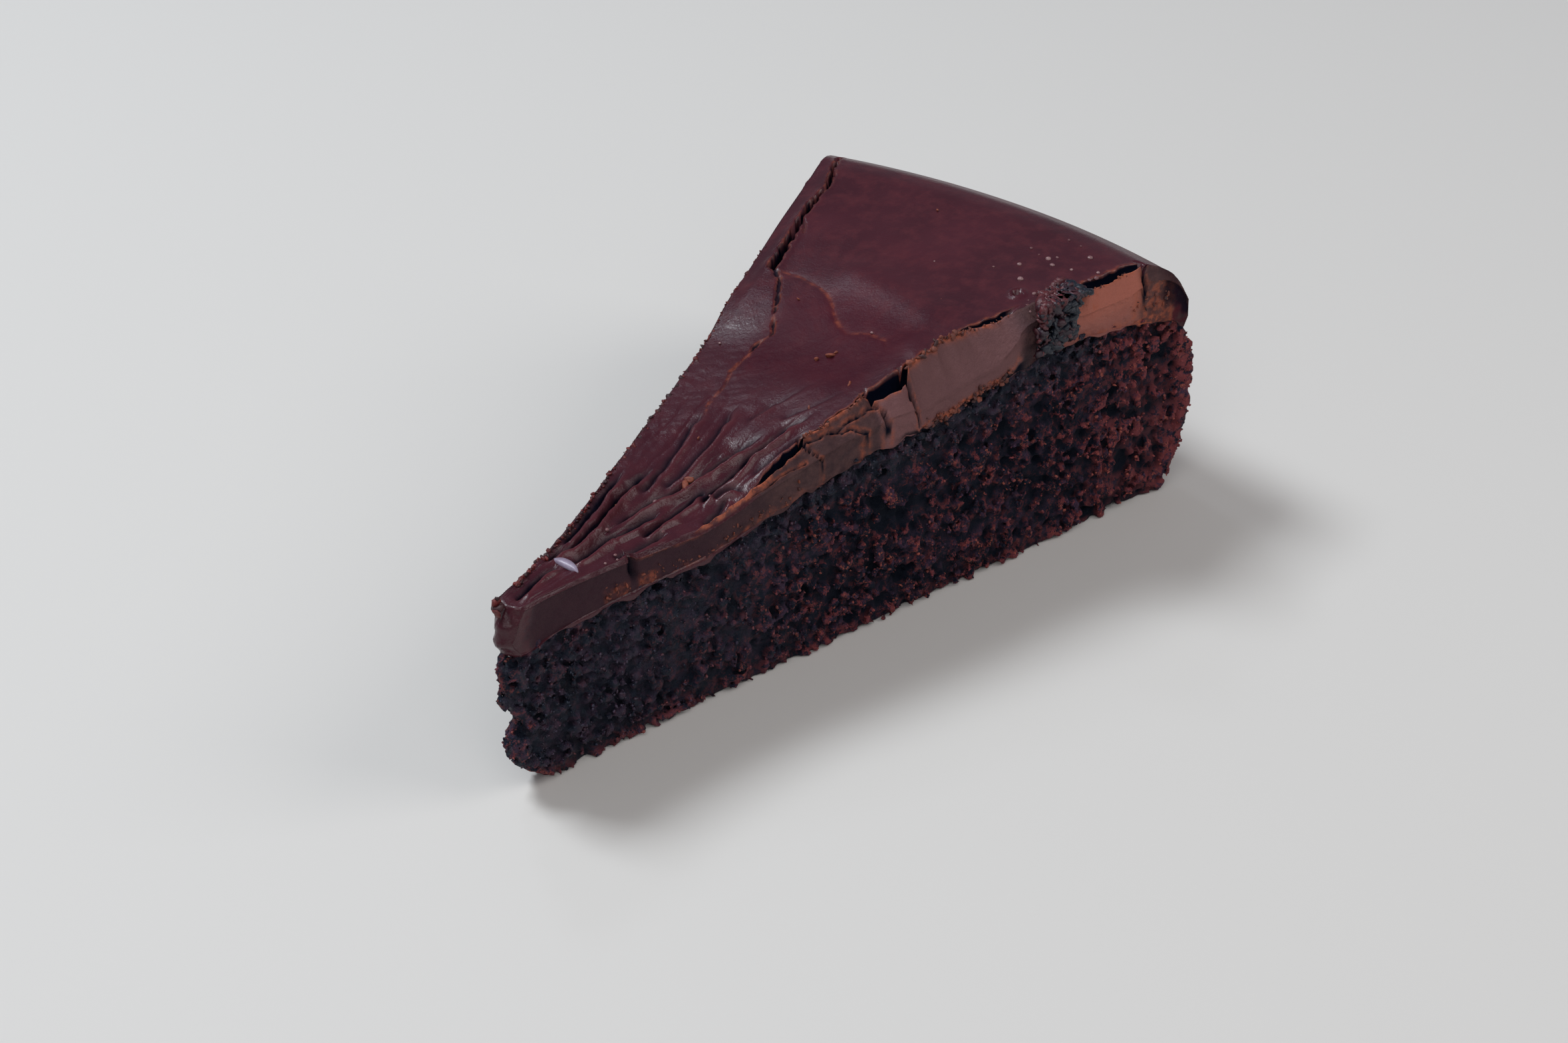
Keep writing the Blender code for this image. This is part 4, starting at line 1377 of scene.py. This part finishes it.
FLOOR_COLOR = (0.66, 0.64, 0.61)
FLOOR_HALF = 3.0
ROOM_COLOR = (0.84, 0.88, 1.0, 1.0)
ROOM_STRENGTH = 0.14
SENSOR_WIDTH = 36.0

# Soft lights a metre away: (name, azimuth, elevation, size, power, colour), with angles in degrees
LIGHTS = (
    ("window", 105, 58, 0.3, 6.8, (0.88, 0.94, 1.0)),
    ("far_window", 62, 48, 0.12, 0.36, (0.80, 0.88, 1.0)),
    ("front_fill", 215, 50, 0.8, 3.4, (1.0, 0.98, 0.98)),
    ("side_fill", 300, 40, 0.5, 2.3, (1.0, 0.97, 0.96)),
)


def make_stage():
    """A pale floor in a dim, even room."""
    shape = bmesh.new()
    bmesh.ops.create_grid(shape, x_segments=1, y_segments=1, size=FLOOR_HALF)
    mesh = bpy.data.meshes.new("floor")
    shape.to_mesh(mesh)
    shape.free()
    mesh.materials.append(plain_material("pale_floor", FLOOR_COLOR, 0.7))
    new_object("floor", mesh)
    world = bpy.data.worlds.new("studio")
    bpy.context.scene.world = world
    world.use_nodes = True
    backdrop = world.node_tree.nodes["Background"]
    backdrop.inputs["Color"].default_value = ROOM_COLOR
    backdrop.inputs["Strength"].default_value = ROOM_STRENGTH


def area_light(name, azimuth, elevation, size, power, color):
    """A soft light that looks at the slice from the given direction."""
    turn, rise = math.radians(azimuth), math.radians(elevation)
    direction = Vector((math.cos(turn) * math.cos(rise), math.sin(turn) * math.cos(rise), math.sin(rise)))
    data = bpy.data.lights.new(name, "AREA")
    data.size = size
    data.energy = power
    data.color = color
    light = new_object(name, data)
    light.location = direction
    light.rotation_euler = direction.to_track_quat("Z", "Y").to_euler()


def make_camera():
    """The camera at the photograph's place and angle."""
    look = Vector(CAMERA_LOOK).normalized()
    right = look.cross(Vector((0, 0, 1))).normalized()
    up = right.cross(look)
    turned = right * math.cos(CAMERA_ROLL) + up * math.sin(CAMERA_ROLL)
    above = turned.cross(look)
    data = bpy.data.cameras.new("camera")
    data.sensor_width = SENSOR_WIDTH
    data.lens = SENSOR_WIDTH * FOCAL_PIXELS / PICTURE_WIDTH
    data.clip_start = 0.01
    camera = new_object("camera", data)
    rotation = Matrix((turned, above, -look)).transposed().to_4x4()
    camera.matrix_world = Matrix.Translation((Vector(CAMERA_AT) + Vector(ORIGIN)) * MM) @ rotation
    bpy.context.scene.camera = camera


def dress(piece, node=None):
    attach(piece, "root")
    if node:
        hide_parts(node)


bpy.context.scene.view_settings.view_transform = "Standard"
make_stage()
for light in LIGHTS:
    area_light(*light)
make_camera()
sponge = make_sponge(sponge_material())
icing, icing_lines = make_icing(icing_material())
dress(icing, "icing")
dress(sponge, "sponge")
dress(make_grains(sponge, grain_material()))
dress(make_clump(tone_material("moist_crumb_look")))
dress(make_bubbles(tone_material("bubble_look")))
dress(make_flakes(icing_lines, tone_material("torn_flake_look")))
dress(make_edge_crumbs(icing_lines, tone_material("edge_crumb_look")))
dress(make_sliver(sliver_material()))
